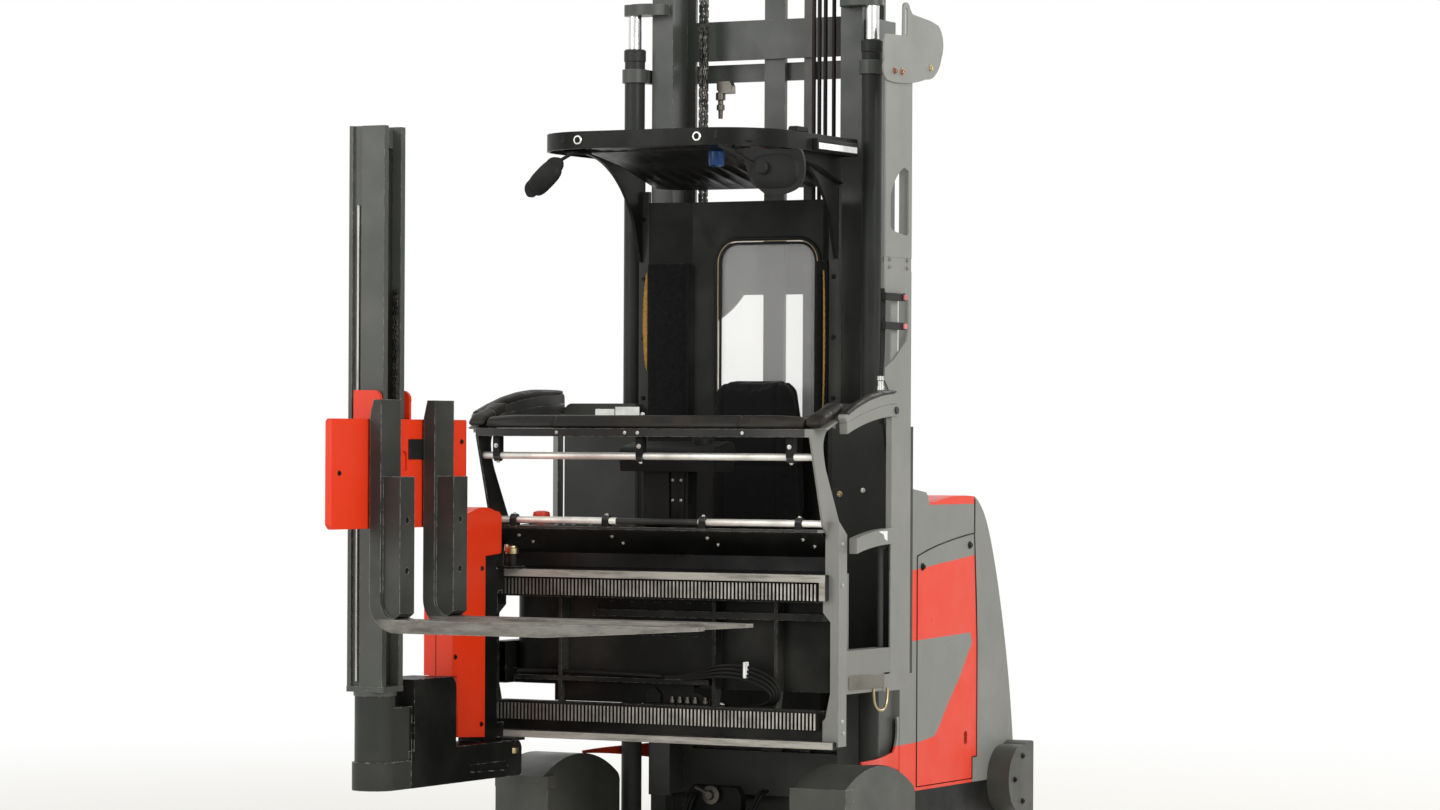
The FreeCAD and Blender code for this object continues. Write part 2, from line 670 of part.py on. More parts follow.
def pulley_plate():
    """Rounded plate over the hose pulleys at the top of the carrier, with its hanging neck."""
    x1 = carrier_x + carrier_thick
    outline = [(-396, 2860), (-400, 2900, -396, 2933), (-388, 2947, -375, 2951), (-251, 2955), (-248, 3060),
               (-223, 3072, -198, 3060), (-195, 3053), (-174, 3035), (-24, 3024), (36, 3013),
               (74, 2970, 64, 2902), (30, 2850, -62, 2817), (-200, 2793, -363, 2791),
               (-388, 2800, -396, 2860)]
    plate_solid = side_plate(outline, carrier_x, x1)
    slot = side_plate([(-231, 2965), (-231, 3045), (-223, 3053, -215, 3045), (-215, 2965),
                       (-223, 2957, -231, 2965)], carrier_x - 1, x1 + 1)
    return plate_solid.cut(slot)


# ---- operator's cab --------------------------------------------------------
def cab_base():
    """Cab floor, front apron, side sills and the carriage that runs in the moving stage."""
    floor = box(-floor_half, floor_half, floor_front, wall_y + wall, floor_z, floor_z + floor_thick)
    bend = 60.0
    skin = 9.0
    half = floor_half + 1
    y0 = floor_front - 8
    y1 = y0 + bend + 25
    outer = bend * (1 - math.sqrt(0.5))
    inner = bend - (bend - skin) * math.sqrt(0.5)
    apron = plan_plate([(-half + bend, y0), (half - bend, y0), (half - outer, y0 + outer, half, y0 + bend),
                        (half, y1), (half - skin, y1), (half - skin, y0 + bend),
                        (half - inner, y0 + inner, half - bend, y0 + skin), (-half + bend, y0 + skin),
                        (-half + inner, y0 + inner, -half + skin, y0 + bend), (-half + skin, y1), (-half, y1),
                        (-half, y0 + bend), (-half + outer, y0 + outer, -half + bend, y0)],
                       floor_z, panel_foot_z - 8)
    recess = front_plate([(-290, 870), (-290, 985), (180, 985), (180, 870)], y0 - 1, y0 + 3)
    apron = apron.cut(recess)
    sill = side_plate([(post_rear, floor_z), (post_rear, sill_top), (sill_rear, sill_top),
                       (sill_rear, gate_zone_bottom + 6), (carrier_front - 2, gate_zone_bottom + 6),
                       (carrier_front - 2, floor_z)], floor_half, cab_half)
    sill = sill.cut(box(floor_half + sheet, cab_half - sheet, post_rear - 1, carrier_front - 10,
                        floor_z + sheet, sill_top - sheet))
    step_face = box(cab_half - 1.5, cab_half + 1, post_rear - 1, carrier_front, floor_z - 1, gate_zone_bottom)
    sill = sill.cut(step_face)
    roller_radius = stage_depth / 2 - stage_thick - slide_gap
    back = wall_y + wall
    parts = [floor, apron] + both_sides(sill)
    for z in (480, 1080):
        parts += both_sides(side_plate([(back, z), (back, z + 220), (120, z + 220), (165, z + 170),
                                        (165, z + 50), (120, z)], 290, 310))
        parts += both_sides(cylinder_x_axis(roller_radius, 310, 362, stage_depth / 2, z + 110))
    parts += both_sides(box(270, 310, back, back + 30, 480, 1550))
    parts.append(box(-310, 310, back, back + 30, 560, 700))
    return fuse(parts)


def cab_post():
    """Front post of the cab: flat plate with lugs at the rails and a slanted top."""
    lug = cab_half - 60
    inner = cab_half - post_width
    slim = cab_half - 32
    outline = [(cab_half, post_bottom), (cab_half, 1290), (inner, 1290), (inner, 1040), (lug, 1040),
               (lug, 968), (slim, 936), (slim, 695), (lug + 11, 612), (lug, 600), (lug, post_bottom)]
    post = front_plate(outline, post_front, post_rear)
    lean = side_plate([(post_front - 1, post_bottom - 1), (post_front - 1, 1277), (post_rear + 1, 1230),
                       (post_rear + 1, post_bottom - 1)], lug - 1, cab_half + 1)
    return post.common(lean)


def cab_strut():
    """Leaning strut, widening to a rounded gusset under the padded bar."""
    foot_y = panel_bend_y + 5
    outline = [(bar_front, bar_z), (bar_front, bar_z + bar_height), (bar_front + 20, bar_z + bar_height),
               (-664, 1640), (-660, 1590), (-735, 1573, -752, 1527), (-735, 1460, -729, 1446),
               (-627, 1272), (-612, 1240), (-612, 1150), (foot_y, 1150), (-747, 1262)]
    return side_plate(outline, strut_x - strut_thick, strut_x)


def tube_clamp(x, y, z, reach_z):
    """Block that grips an accessory tube, rounded below and bolted to a bar above or below."""
    half = 14.0
    if reach_z > z:
        outline = [(y - half, reach_z), (y - half, z), (y, z - half - 6, y + half, z), (y + half, reach_z)]
    else:
        outline = [(y - half, reach_z), (y - half, z), (y, z + half + 6, y + half, z), (y + half, reach_z)]
    return side_plate(outline, x - 12, x + 12)


def cab_front_frame():
    """Front posts, leaning struts, the bar under the pad and the two accessory tubes."""
    inner = strut_x - strut_thick
    bar_rear = bar_front + bar_depth
    bar = side_plate([(bar_front, bar_z), (bar_front, bar_z + bar_height), (bar_rear, bar_z + bar_height),
                      (bar_rear, bar_z), (bar_rear - 8, bar_z), (bar_rear - 8, bar_z + bar_height - 8),
                      (bar_front + 8, bar_z + bar_height - 8), (bar_front + 8, bar_z)], -inner, inner)
    wing = side_plate([(bar_front + 20, bar_z + bar_height), (-664, 1640), (-664, 1632),
                       (bar_front + 36, bar_z + bar_height - 4)], strut_x, cab_half)
    shelf = box(-inner, inner, panel_top_y, panel_top_y + 55, panel_top_z, panel_top_z + 10)
    parts = [bar, shelf] + both_sides(cab_post()) + both_sides(cab_strut()) + both_sides(wing)
    parts.append(cylinder_x_axis(tube_radius, -inner, inner, high_tube_y, high_tube_z))
    parts.append(cylinder_x_axis(tube_radius, -inner, inner, low_tube_y, low_tube_z))
    for x in (-590, -20, 560):
        parts.append(tube_clamp(x, high_tube_y, high_tube_z, bar_z + bar_height - 2))
    for x in (-560, -190, 190, 560):
        parts.append(tube_clamp(x, low_tube_y, low_tube_z, panel_top_z + 5))
    return fuse(parts)


def front_panel():
    """Bent front panel: it leans in below the lower tube, then stands upright behind the rail."""
    half = strut_x - strut_thick - slide_gap
    strip = bent_strip([(panel_top_y + 2, panel_top_z - slide_gap), (panel_bend_y, panel_bend_z),
                        (panel_bend_y - 6, panel_foot_z)], -sheet)
    panel = side_plate(strip, -half, half)
    return panel


def front_pad():
    """Pads on the front bar: a straight one and a rising corner piece on each side."""
    z0 = bar_z + bar_height + slide_gap
    y0 = bar_front
    y1 = bar_front + bar_depth
    round_z = z0 + pad_height
    bar = side_plate([(y0, z0), (y0, round_z - 22), (y0 + 12, round_z - 5, y0 + 34, round_z),
                      (y1 - 20, round_z), (y1 - 6, round_z - 8, y1, round_z - 24), (y1, z0)],
                     -strut_x + 30, strut_x - 30)
    corner = side_plate([(y0, z0), (y0, round_z - 22), (y0 + 12, round_z - 5, y0 + 34, round_z),
                         (-668, 1690), (-664, 1641), (y0 + 20, z0)], strut_x - 34, cab_half - 2)
    corner = corner.cut(plan_plate([(strut_x, y0 - 1), (cab_half + 1, y0 - 1), (cab_half + 1, y0 + 60)],
                                   z0 - 1, 1700))
    return fuse([bar] + both_sides(corner))


def rear_wall():
    """Rear wall: recessed middle panel with the window, upright flanges and wide lower wings."""
    flange_y = wall_y - flange_out
    flange_in = upper_half - flange_width
    upper_line = [(-upper_half, flange_y), (-flange_in, flange_y), (-200, wall_y), (325, wall_y),
                  (flange_in, flange_y), (upper_half, flange_y)]
    upper = plan_plate(bent_strip(upper_line, wall), floor_z + floor_thick, upper_top)
    ears = both_sides(box(flange_in, upper_half, flange_y, flange_y + wall, upper_top, upper_top + 40))
    hole = rounded_window(0, wall_y - 60, wall_y + 80)
    wing = box(upper_half - 6, wing_half, wing_y, wing_y + wall, floor_z + floor_thick, wing_top)
    wing = round_edges(wing, 30, V(0, 1, 0), lambda b: b.XMin > wing_half - 1 and b.ZMin > wing_top - 1)
    edge = box(wing_half - 12, wing_half, wing_y + wall, wing_y + wall + 25, floor_z + floor_thick, 1600)
    parts = [upper.cut(hole)] + ears + both_sides(wing) + both_sides(edge)
    for side, pivot in ((1, gate_pivot_left), (-1, gate_pivot_right)):
        bracket = gate_bracket(pivot)
        parts.append(bracket if side > 0 else mirror(bracket))
    rail = rod([V(wing_half - 22, wing_y + 2, 1180), V(wing_half - 22, -333, 1180),
                V(wing_half - 22, -333, sill_top + slide_gap)], 11)
    parts += both_sides(rail)
    return fuse(parts)


def gate_bracket(pivot_y_gate):
    """Bracket and pin that carry a side gate on the wing of the rear wall."""
    front = pivot_y_gate - 26
    bracket = side_plate([(front, gate_pivot_z - 20), (pivot_y_gate, gate_pivot_z - 46, front + 52, gate_pivot_z - 40),
                          (wing_y + 2, wing_top - 130), (wing_y + 2, wing_top),
                          (front + 30, gate_pivot_z + 26), (front + 6, gate_pivot_z + 20, front, gate_pivot_z)],
                         wing_half - 14, wing_half)
    pin = cylinder_x_axis(gate_pin, wing_half - 2, gate_x + gate_thick + 6, pivot_y_gate, gate_pivot_z)
    return fuse([bracket, pin])


def rounded_window(inset, y0, y1):
    body = box(window_left + inset, window_right - inset, y0, y1, window_bottom + inset, window_top - inset)
    return round_edges(body, window_corner - inset, V(0, 1, 0))


def window_glass():
    middle = wall_y + wall / 2
    return rounded_window(slide_gap, middle - glass_thick / 2, middle + glass_thick / 2)


def roof_outline(inset):
    """Plan of the overhead guard: round front corners, square rear corners."""
    half = roof_half - inset
    front = roof_front + inset
    rear = wall_y - inset
    radius = roof_corner - inset
    bend = radius * (1 - math.sqrt(0.5))
    return [(-half, rear), (-half, front + radius), (-half + bend, front + bend, -half + radius, front),
            (half - radius, front), (half - bend, front + bend, half, front + radius), (half, rear)]


def overhead_guard():
    """Overhead guard: rim, slatted top, three ribs underneath and the two curved arms."""
    z1 = roof_z + roof_height
    roof = plan_plate(roof_outline(0), roof_z, z1)
    roof = roof.cut(plan_plate(roof_outline(roof_rim), roof_z - 1, z1 - 8))
    for index in range(5):
        x = -350 + 145 * index
        slot = box(x, x + 100, -700, -300, z1 - 9, z1 + 1)
        roof = roof.cut(round_edges(slot, 20, V(0, 0, 1)))
    ribs = [box(x - 6, x + 6, roof_front + roof_rim, wall_y - roof_rim, roof_z + 22, z1 - 8)
            for x in (-300, -2, 296)]
    face = wall_y - flange_out
    inside = roof_z + roof_height - 7
    arm = side_plate([(face + wall, roof_z), (face + wall, upper_top + 41), (face, upper_top + 41),
                      (face, 2190), (face - 14, 2190), (face - 60, 2330),
                      (face - 190, 2480, face - 470, roof_z + 2), (face - 470, inside),
                      (face + wall, inside)],
                     upper_half - 14, upper_half - 2)
    return fuse([roof] + ribs + both_sides(arm))


def seat_base():
    """Seat pedestal, pan and back plate on the rear wall."""
    x_mid = (seat_x0 + seat_x1) / 2
    pedestal = side_plate([(-380, floor_z + floor_thick), (-340, seat_z - 20), (-200, seat_z - 20),
                           (-180, floor_z + floor_thick)], x_mid - 150, x_mid + 150)
    pan = plan_plate([(seat_x0 - 10, wall_y - 34), (seat_x0 - 10, -440), (seat_x0 + 20, -466, seat_x0 + 50, -472),
                      (seat_x1 - 50, -472), (seat_x1 - 20, -466, seat_x1 + 10, -440), (seat_x1 + 10, wall_y - 34)],
                     seat_z - 20, seat_z)
    back = box(x_mid - 110, x_mid + 110, wall_y - 34, wall_y - slide_gap, seat_z - 20, 1540)
    return fuse([pedestal, pan, back])


def seat_cushion():
    return box(seat_x0 - 15, seat_x1 + 15, -485, -240, seat_z + slide_gap, seat_z + 85)


def seat_back():
    body = box(seat_x0, seat_x1, -230, wall_y - 34 - slide_gap, seat_z + 60, 1785)
    return round_edges(body, 80, V(0, 1, 0), lambda b: b.ZMin > 1700)


def side_pads():
    """Foam pads beside the window on the cab's rear wall."""
    flange_y = wall_y - flange_out
    left = plan_plate([(-352, flange_y - 46), (-205, flange_y - 20), (-205, wall_y - 1.3), (-352, flange_y + 2)],
                      1565, 2190)
    right = plan_plate([(327, wall_y - 50), (362, flange_y - 40), (362, flange_y + 1.2), (327, wall_y - 2)],
                       1565, 2190)
    return [left, right]


def console():
    """Control column with its desk in the middle of the cab's front."""
    z0 = floor_z + floor_thick
    column = side_plate([(-598, z0), (-598, 1441), (-530, 1441), (-540, 1180), (-545, z0)], -115, 55)
    desk = side_plate([(-640, 1440), (-652, 1500), (-640, 1520, -615, 1528), (-520, 1545),
                       (-492, 1535, -480, 1505), (-500, 1440)], -190, 180)
    wheel_knob = cylinder_z_axis(34, 1525, 1552, 90, -560)
    return fuse([column, desk, wheel_knob])


def mirrors():
    """Two mirrors on bent arms below the front of the overhead guard."""
    y = roof_front - 12
    left = front_plate([(-428, 2400), (-415, 2386, -396, 2390), (-300, 2470), (-284, 2495, -290, 2515),
                        (-315, 2522, -345, 2508), (-420, 2440), (-432, 2420, -428, 2400)], y - 14, y)
    right = front_plate([(500, 2380), (560, 2374, 620, 2392), (640, 2410), (652, 2460, 645, 2505),
                         (635, 2522, 610, 2525), (440, 2530), (420, 2528, 424, 2510),
                         (450, 2430, 500, 2380)], y - 14, y)
    inset = roof_front + 75
    arms = [rod([V(-320, y, 2500), V(-250, y, 2534), V(-230, inset, 2540), V(-230, inset, roof_z + 52)], 6),
            rod([V(470, y, 2500), V(345, y, 2534), V(330, inset, 2540), V(330, inset, roof_z + 52)], 6)]
    return [fuse([left, arms[0]]), fuse([right, arms[1]])]


def gate(pivot):
    """Swing-up side gate on the +X side: padded top bar, curved lower bar and rear post."""
    x0 = gate_x
    x1 = gate_x + gate_thick
    rear = pivot + 14
    run = rear - gate_front
    top = side_plate([(gate_front, 1572), (gate_front + run * 0.5, 1618, rear, 1636), (rear, 1678),
                      (gate_front + run * 0.5, 1656, gate_front - 4, 1608)], x0, x1)
    pad = side_plate([(gate_front - 4, 1609), (gate_front + run * 0.5, 1657, rear, 1679),
                      (rear - 2, 1679 + gate_pad_height - 8), (rear - 8, 1679 + gate_pad_height, rear - 30,
                      1679 + gate_pad_height - 2), (gate_front + run * 0.45, 1657 + gate_pad_height - 4,
                      gate_front + 8, 1609 + gate_pad_height - 8),
                      (gate_front - 12, 1634, gate_front - 14, 1622)], x0, x1)
    low_front = post_rear + 4
    low = side_plate([(low_front, 1167), (low_front + run * 0.4, 1190, rear - 6, 1196), (rear - 6, 1250),
                      (low_front + run * 0.4, 1243, low_front, 1219)], x0, x1)
    post = box(x0 + 4, x1 - 4, pivot - 26, pivot + 12, 1200, 1640)
    bore = cylinder_x_axis(gate_pin + slide_gap, x0 - 1, x1 + 1, pivot, gate_pivot_z)
    return fuse([top, pad, low, post]).cut(bore)


# ---- traverse --------------------------------------------------------------
def rack(z0):
    """Toothed bar along X, its teeth cut upright across the front face."""
    back = traverse_front + rack_depth
    root = traverse_front + tooth_depth
    count = int(2 * (traverse_half - 10) / rack_pitch)
    start = -count * rack_pitch / 2
    points = [(start, back), (start, root)]
    for index in range(count):
        x = start + index * rack_pitch
        points += [(x + rack_pitch * 0.16, root), (x + rack_pitch * 0.32, traverse_front),
                   (x + rack_pitch * 0.68, traverse_front), (x + rack_pitch * 0.84, root)]
    points += [(start + count * rack_pitch, root), (start + count * rack_pitch, back)]
    return plan_plate(points, z0, z0 + rack_height)


def traverse_rails():
    """Two rolled guide rails in front of the cab that carry the racks, and the ribs behind them."""
    back = traverse_front + rack_depth
    nose = traverse_front - guide_out
    web = back + rail_wall
    top = upper_guide_z + upper_guide_height
    low = upper_rack_z - run_gap
    upper = side_plate([(post_rear, low), (back, low), (back, upper_guide_z), (nose, upper_guide_z), (nose, top),
                        (post_rear, top), (post_rear, top - rail_wall), (web, top - rail_wall),
                        (web, low + rail_wall), (post_rear, low + rail_wall)], -traverse_half, traverse_half)
    lower_top = lower_rack_z + rack_height + run_gap
    guide_top = lower_guide_z + lower_guide_height
    lower = side_plate([(post_rear, lower_guide_z), (nose, lower_guide_z), (nose, guide_top), (back, guide_top),
                        (back, lower_top), (post_rear, lower_top), (post_rear, lower_top - rail_wall),
                        (web, lower_top - rail_wall), (web, lower_guide_z + rail_wall),
                        (post_rear, lower_guide_z + rail_wall)], -traverse_half, traverse_half)
    stops = both_sides(box(traverse_half, traverse_half + 22, nose, post_front, upper_rack_z, top))
    lip = box(traverse_half, cab_half - 7, nose, post_front, lower_guide_z, guide_top)
    apron_front = floor_front - 8
    ribs = []
    for x in (-420, 190, 430):
        ribs.append(side_plate([(post_rear, lower_guide_z), (apron_front, floor_z), (apron_front, low + 60),
                                (post_rear, top)], x - 6, x + 6))
    ducts = [box(-288, 613, post_rear, apron_front - 18, 935, 959),
             box(-600, 169, post_rear, apron_front - 18, 706, 722)]
    return fuse([upper, lower, lip] + stops + ribs + ducts)


def racks():
    return [rack(upper_rack_z), rack(lower_rack_z)]


# ---- turret head -----------------------------------------------------------
def stadium(radius, y_rear, z0, z1):
    """Upright prism around the swivel axis, round in front and flat-sided towards the rear."""
    return plan_plate([(pivot_x - radius, pivot_y), (pivot_x, pivot_y - radius, pivot_x + radius, pivot_y),
                       (pivot_x + radius, y_rear), (pivot_x - radius, y_rear)], z0, z1)


def turret_carriage():
    """Traversing carriage: low arm under the rails, swivel column, drive box, beam and shoes."""
    x0 = pivot_x - arm_half
    x1 = pivot_x + arm_half
    band = stadium(band_radius, drive_box_front, arm_bottom, arm_bottom + band_height)
    column = cylinder_z_axis(pivot_radius, arm_bottom, pivot_top, pivot_x, pivot_y)
    neck = stadium(pivot_radius, drive_box_front + 1, arm_bottom + band_height, pivot_top - 40)
    arm = side_plate([(drive_box_front - 16, arm_bottom), (drive_box_front - 16, arm_top + 2),
                      (arm_rear - 40, arm_top), (arm_rear - 8, arm_top - 10, arm_rear, arm_top - 40),
                      (arm_rear, arm_bottom + 8), (arm_rear - 8, arm_bottom)], x0, x1)
    slot = side_plate([(-1073, 405), (-1073, 430), (-825, 430), (-825, 398)], x1 - 4, x1 + 1)
    arm = arm.cut(slot)
    corner = 36.0
    drive_box = side_plate([(drive_box_front, arm_top - 10), (drive_box_front, drive_box_top),
                            (drive_box_rear - corner, drive_box_top),
                            (drive_box_rear - corner * 0.3, drive_box_top - corner * 0.3,
                             drive_box_rear, drive_box_top - corner),
                            (drive_box_rear, arm_top - 10)], x0, x1)
    beam = box(beam_x0, beam_x1, beam_front, beam_rear, 400, beam_top)
    beam = round_edges(beam, 14, V(1, 0, 0), lambda b: b.ZMin > beam_top - 1)
    parts = [band, column, neck, arm, drive_box, beam]
    rail_nose = traverse_front - guide_out
    shoe_front = beam_rear - 6
    top = upper_guide_z + upper_guide_height + slide_gap
    bottom = lower_guide_z - slide_gap
    for z0, z1 in ((top, top + 10), (bottom - 10, bottom)):
        parts.append(box(beam_x0, pivot_x + 88, shoe_front, rail_nose + 22, z0, z1))
    for z0, z1 in ((1020, top + 10), (bottom - 10, 560)):
        parts.append(box(beam_x0 + 8, beam_x1, shoe_front, rail_nose - run_gap, z0, z1))
    for z0, z1 in ((top + 8, top + 62), (bottom - 50, bottom - 8)):
        parts.append(cylinder_z_axis(17, z0, z1, pivot_x + 63, rail_nose - run_gap - 20))
        parts.append(cylinder_z_axis(11, z0, z1, pivot_x + 40, rail_nose - run_gap - 20))
    return fuse(parts)


def turret_cover():
    """Hooked cover over the traverse drive: an open-backed sheet housing."""
    x1 = cover_x1
    x0 = cover_x1 - cover_width
    front = -1109.0
    rear = beam_front - slide_gap
    hook = -783.0

    def profile(inset):
        return [(front + inset, drive_box_top - 5), (front + inset, 1236),
                (front + 25, 1268 - inset, -1050, 1287 - inset), (-982, 1298 - inset),
                (-870, 1310 - inset, -822, 1297 - inset), (hook - 4 - inset, 1284, hook - inset, 1255),
                (hook - inset, 1150 + inset), (rear, 1143 + inset), (rear, 514),
                (-1068 + inset, 523), (-1077 + inset, drive_box_top - 5)]
    body = side_plate(profile(0), x0, x1)
    hollow = side_plate(profile(cover_wall), x0 - 1, x1 - cover_wall)
    hollow = hollow.cut(box(x0 - 2, x0 + cover_wall, -1200, -700, 400, 1400))
    behind = box(x0 - 1, beam_x1 + slide_gap, beam_front - slide_gap, beam_rear + slide_gap, 400, beam_top + slide_gap)
    return body.cut(hollow).cut(behind)


def aux_mast():
    """Lift mast of the forks: a rolled channel open towards the forks, with its base and head."""
    x0 = pivot_x - aux_back
    x1 = x0 + aux_width
    y0 = pivot_y - aux_depth / 2
    y1 = pivot_y + aux_depth / 2
    t = aux_wall
    groove0 = x0 + t
    groove1 = x0 + 49
    lip = x1 - 35
    groove = 10.0
    outline = [(x0, y0), (groove0, y0), (groove0, y0 + groove), (groove1, y0 + groove), (groove1, y0), (x1, y0),
               (x1, y0 + t + 12), (lip, y0 + t + 12), (lip, y0 + t + groove), (x0 + aux_web, y0 + t + groove),
               (x0 + aux_web, y1 - t - groove), (lip, y1 - t - groove), (lip, y1 - t - 12), (x1, y1 - t - 12),
               (x1, y1), (groove1, y1), (groove1, y1 - groove), (groove0, y1 - groove), (groove0, y1), (x0, y1)]
    column = plan_plate(outline, aux_bottom, aux_top)
    base = box(x0 - 4, x1 + 4, y0 - 4, y1 + 4, aux_bottom - 6, aux_bottom + 12)
    base = round_edges(base, 10, V(0, 0, 1))
    swivel = cylinder_z_axis(pivot_radius + 4, pivot_top + swivel_gap, aux_bottom, pivot_x, pivot_y)
    head = box(x0 + aux_web, lip, y0 + t + groove, y1 - t - groove, aux_top - aux_head, aux_top - 6)
    return fuse([column, base, swivel, head])


def fork_carriage():
    """Fork carriage: cover box, cheeks beside the lift mast and the roller neck inside it."""
    x_face = pivot_x + fork_heel - fork_thick - hanger_gap
    x_back = x_face - carriage_depth
    y0 = pivot_y - carriage_half
    y1 = pivot_y + carriage_half
    z0 = carriage_bottom
    z1 = carriage_bottom + carriage_height
    cover = plan_plate([(x_back, y0), (x_face - 6, y0), (x_face, y0 + 6), (x_face, y1 - 6), (x_face - 6, y1),
                        (x_back, y1)], z0, z1)
    for y, side in ((y0, 1), (y1, -1)):
        cover = cover.cut(side_plate([(y - side, z0 - 1), (y + side * 18, z0 - 1), (y - side, z0 + 17)],
                                     x_back - 1, x_face + 1))
        cover = cover.cut(side_plate([(y - side, z1 + 1), (y + side * 12, z1 + 1), (y - side, z1 - 11)],
                                     x_back - 1, x_face + 1))
    slot = side_plate([(-1561, 1444), (-1561, 1490), (-1542, 1508, -1523, 1490), (-1523, 1444)],
                      x_face - 8, x_face + 1)
    cover = cover.cut(slot)
    reach = aux_depth / 2 + cheek_gap
    cheeks = []
    for y in (pivot_y - reach - plate, pivot_y + reach):
        cheeks.append(front_plate([(x_back, z0 + 20), (x_back, cheek_top - 40), (x_back - 8, cheek_top - 8,
                                   x_back - 22, cheek_top), (x_back - 105, cheek_top), (x_back - 105, z1 - 60),
                                   (x_back - 60, z1 - 110), (x_back - 60, z0 + 20)], y, y + plate))
    channel_half = aux_depth / 2 - aux_wall - 10
    neck = box(pivot_x + 10, x_back, pivot_y - 28, pivot_y + 28, z0 + 50, z0 + 300)
    rollers = [cylinder_x_axis(channel_half - slide_gap, pivot_x - 30, pivot_x + 12, pivot_y, z)
               for z in (z0 + 80, z0 + 260)]
    return fuse([cover, neck] + cheeks + rollers)


def fork(y_middle):
    """One fork: hangers, shank with a bevelled top, round heel and tapered blade along +X."""
    x_heel = pivot_x + fork_heel
    x_back = x_heel - fork_thick
    tip = x_heel + fork_length
    y0 = y_middle - fork_width / 2
    z = fork_z
    t = fork_thick
    inner = heel_radius
    outer = heel_radius + t
    k = 1 - math.sqrt(0.5)
    profile = [(x_heel, fork_top), (x_back + 14, fork_top), (x_back, fork_top - 60), (x_back, z + outer),
               (x_back + outer * k, z + outer * k, x_back + outer, z), (tip - 540, z),
               (tip, z + t - tip_thick), (tip, z + t), (x_heel + inner, z + t),
               (x_heel + inner * k, z + t + inner * k, x_heel, z + t + inner)]
    blade = front_plate(profile, y0, y0 + fork_width)
    for side in (-1, 1):
        edge = y_middle + side * fork_width / 2
        wedge = plan_plate([(tip - tip_length, edge), (tip - tip_length / 3, edge - side * tip_taper * 0.4,
                            tip + 1, edge - side * tip_taper), (tip + 1, edge)], z - 1, z + t + 1)
        blade = blade.cut(wedge)
    hangers = [box(x_back - hanger_gap + slide_gap, x_back, y_middle - 30, y_middle + 30, z0, z0 + 60)
               for z0 in (carriage_bottom + 30, carriage_bottom + carriage_height - 90)]
    return fuse([blade, backrest_bracket(x_heel, y0 + 15)] + hangers)


def backrest_bracket(x_heel, y0):
    """Folded bracket in front of a shank with two bolt holes, its foot cut to the heel's curve."""
    x1 = x_heel + fin_depth
    y1 = y0 + fin_width
    w = fin_wall
    bracket = plan_plate([(x_heel - 1, y0), (x1, y0), (x1, y1), (x_heel - 1, y1), (x_heel - 1, y1 - w),
                          (x1 - w, y1 - w), (x1 - w, y0 + w), (x_heel - 1, y0 + w)], fin_bottom - 20, fin_top)
    lid = box(x_heel - 1, x1, y0, y1, fin_top - w, fin_top)
    foot = front_plate([(x_heel - 2, fin_bottom - 21), (x1 + 1, fin_bottom - 21), (x1 + 1, fin_bottom + 12),
                        (x1 - 24, fin_bottom - 6, x_heel - 2, fin_bottom - 6)], y0 - 1, y1 + 1)
    bracket = fuse([bracket, lid]).cut(foot)
    for z in (fin_hole_low, fin_hole_low + fin_hole_spacing):
        bracket = bracket.cut(cylinder_x_axis(fin_hole, x1 - w - 1, x1 + 1, (y0 + y1) / 2, z))
    return bracket


def forks():
    middle = pivot_y + fork_offset
    return [fork(middle - fork_spread / 2), fork(middle + fork_spread / 2)]


def build():
    os.makedirs("parts", exist_ok=True)
    save("chassis_frame", chassis_frame())
    leg = load_leg()
    save("load_leg_left", leg)
    save("load_leg_right", mirror(leg))
    load_wheel = wheel(load_wheel_radius, load_wheel_width, leg_half - leg_width / 2, load_axle_y)
    save("load_wheel_left", load_wheel)
    save("load_wheel_right", mirror(load_wheel))
    save("drive_steer", drive_steer())
    save("drive_wheel", wheel(drive_wheel_radius, drive_wheel_width, 0, drive_wheel_y))
    save("battery", battery())
    front, hood = body_covers()
    save("body_front_cover", front)
    save("rear_hood", hood)
    panel = side_panel()
    save("side_cover_left", panel)
    save("side_cover_right", mirror(panel))
    save("rear_guards", both_sides(rear_guard()))
    save("lifting_lug", lifting_lug())
    save("outer_mast", outer_mast())
    save("lift_cylinders", both_sides(lift_cylinder()))
    save("moving_stage", moving_stage())
    save("lift_rods", both_sides(lift_rod()))
    save("mast_cover_left", hose_carrier())
    save("cab_base", cab_base())
    save("cab_front_frame", cab_front_frame())
    save("front_panel", front_panel())
    save("front_pad", front_pad())
    save("rear_wall", rear_wall())
    save("window_glass", window_glass())
    save("overhead_guard", overhead_guard())
    save("seat_base", seat_base())
    save("seat_cushion", seat_cushion())
    save("seat_back", seat_back())
    save("side_pads", side_pads())
    save("console", console())
    save("mirrors", mirrors())
    save("gate_left", gate(gate_pivot_left))
    save("gate_right", mirror(gate(gate_pivot_right)))
    save("traverse_rails", traverse_rails())
    save("racks", racks())
    save("turret_carriage", turret_carriage())
    save("turret_cover", turret_cover())
    save("aux_mast", aux_mast())
    save("fork_carriage", fork_carriage())
    save("forks", forks())


build()
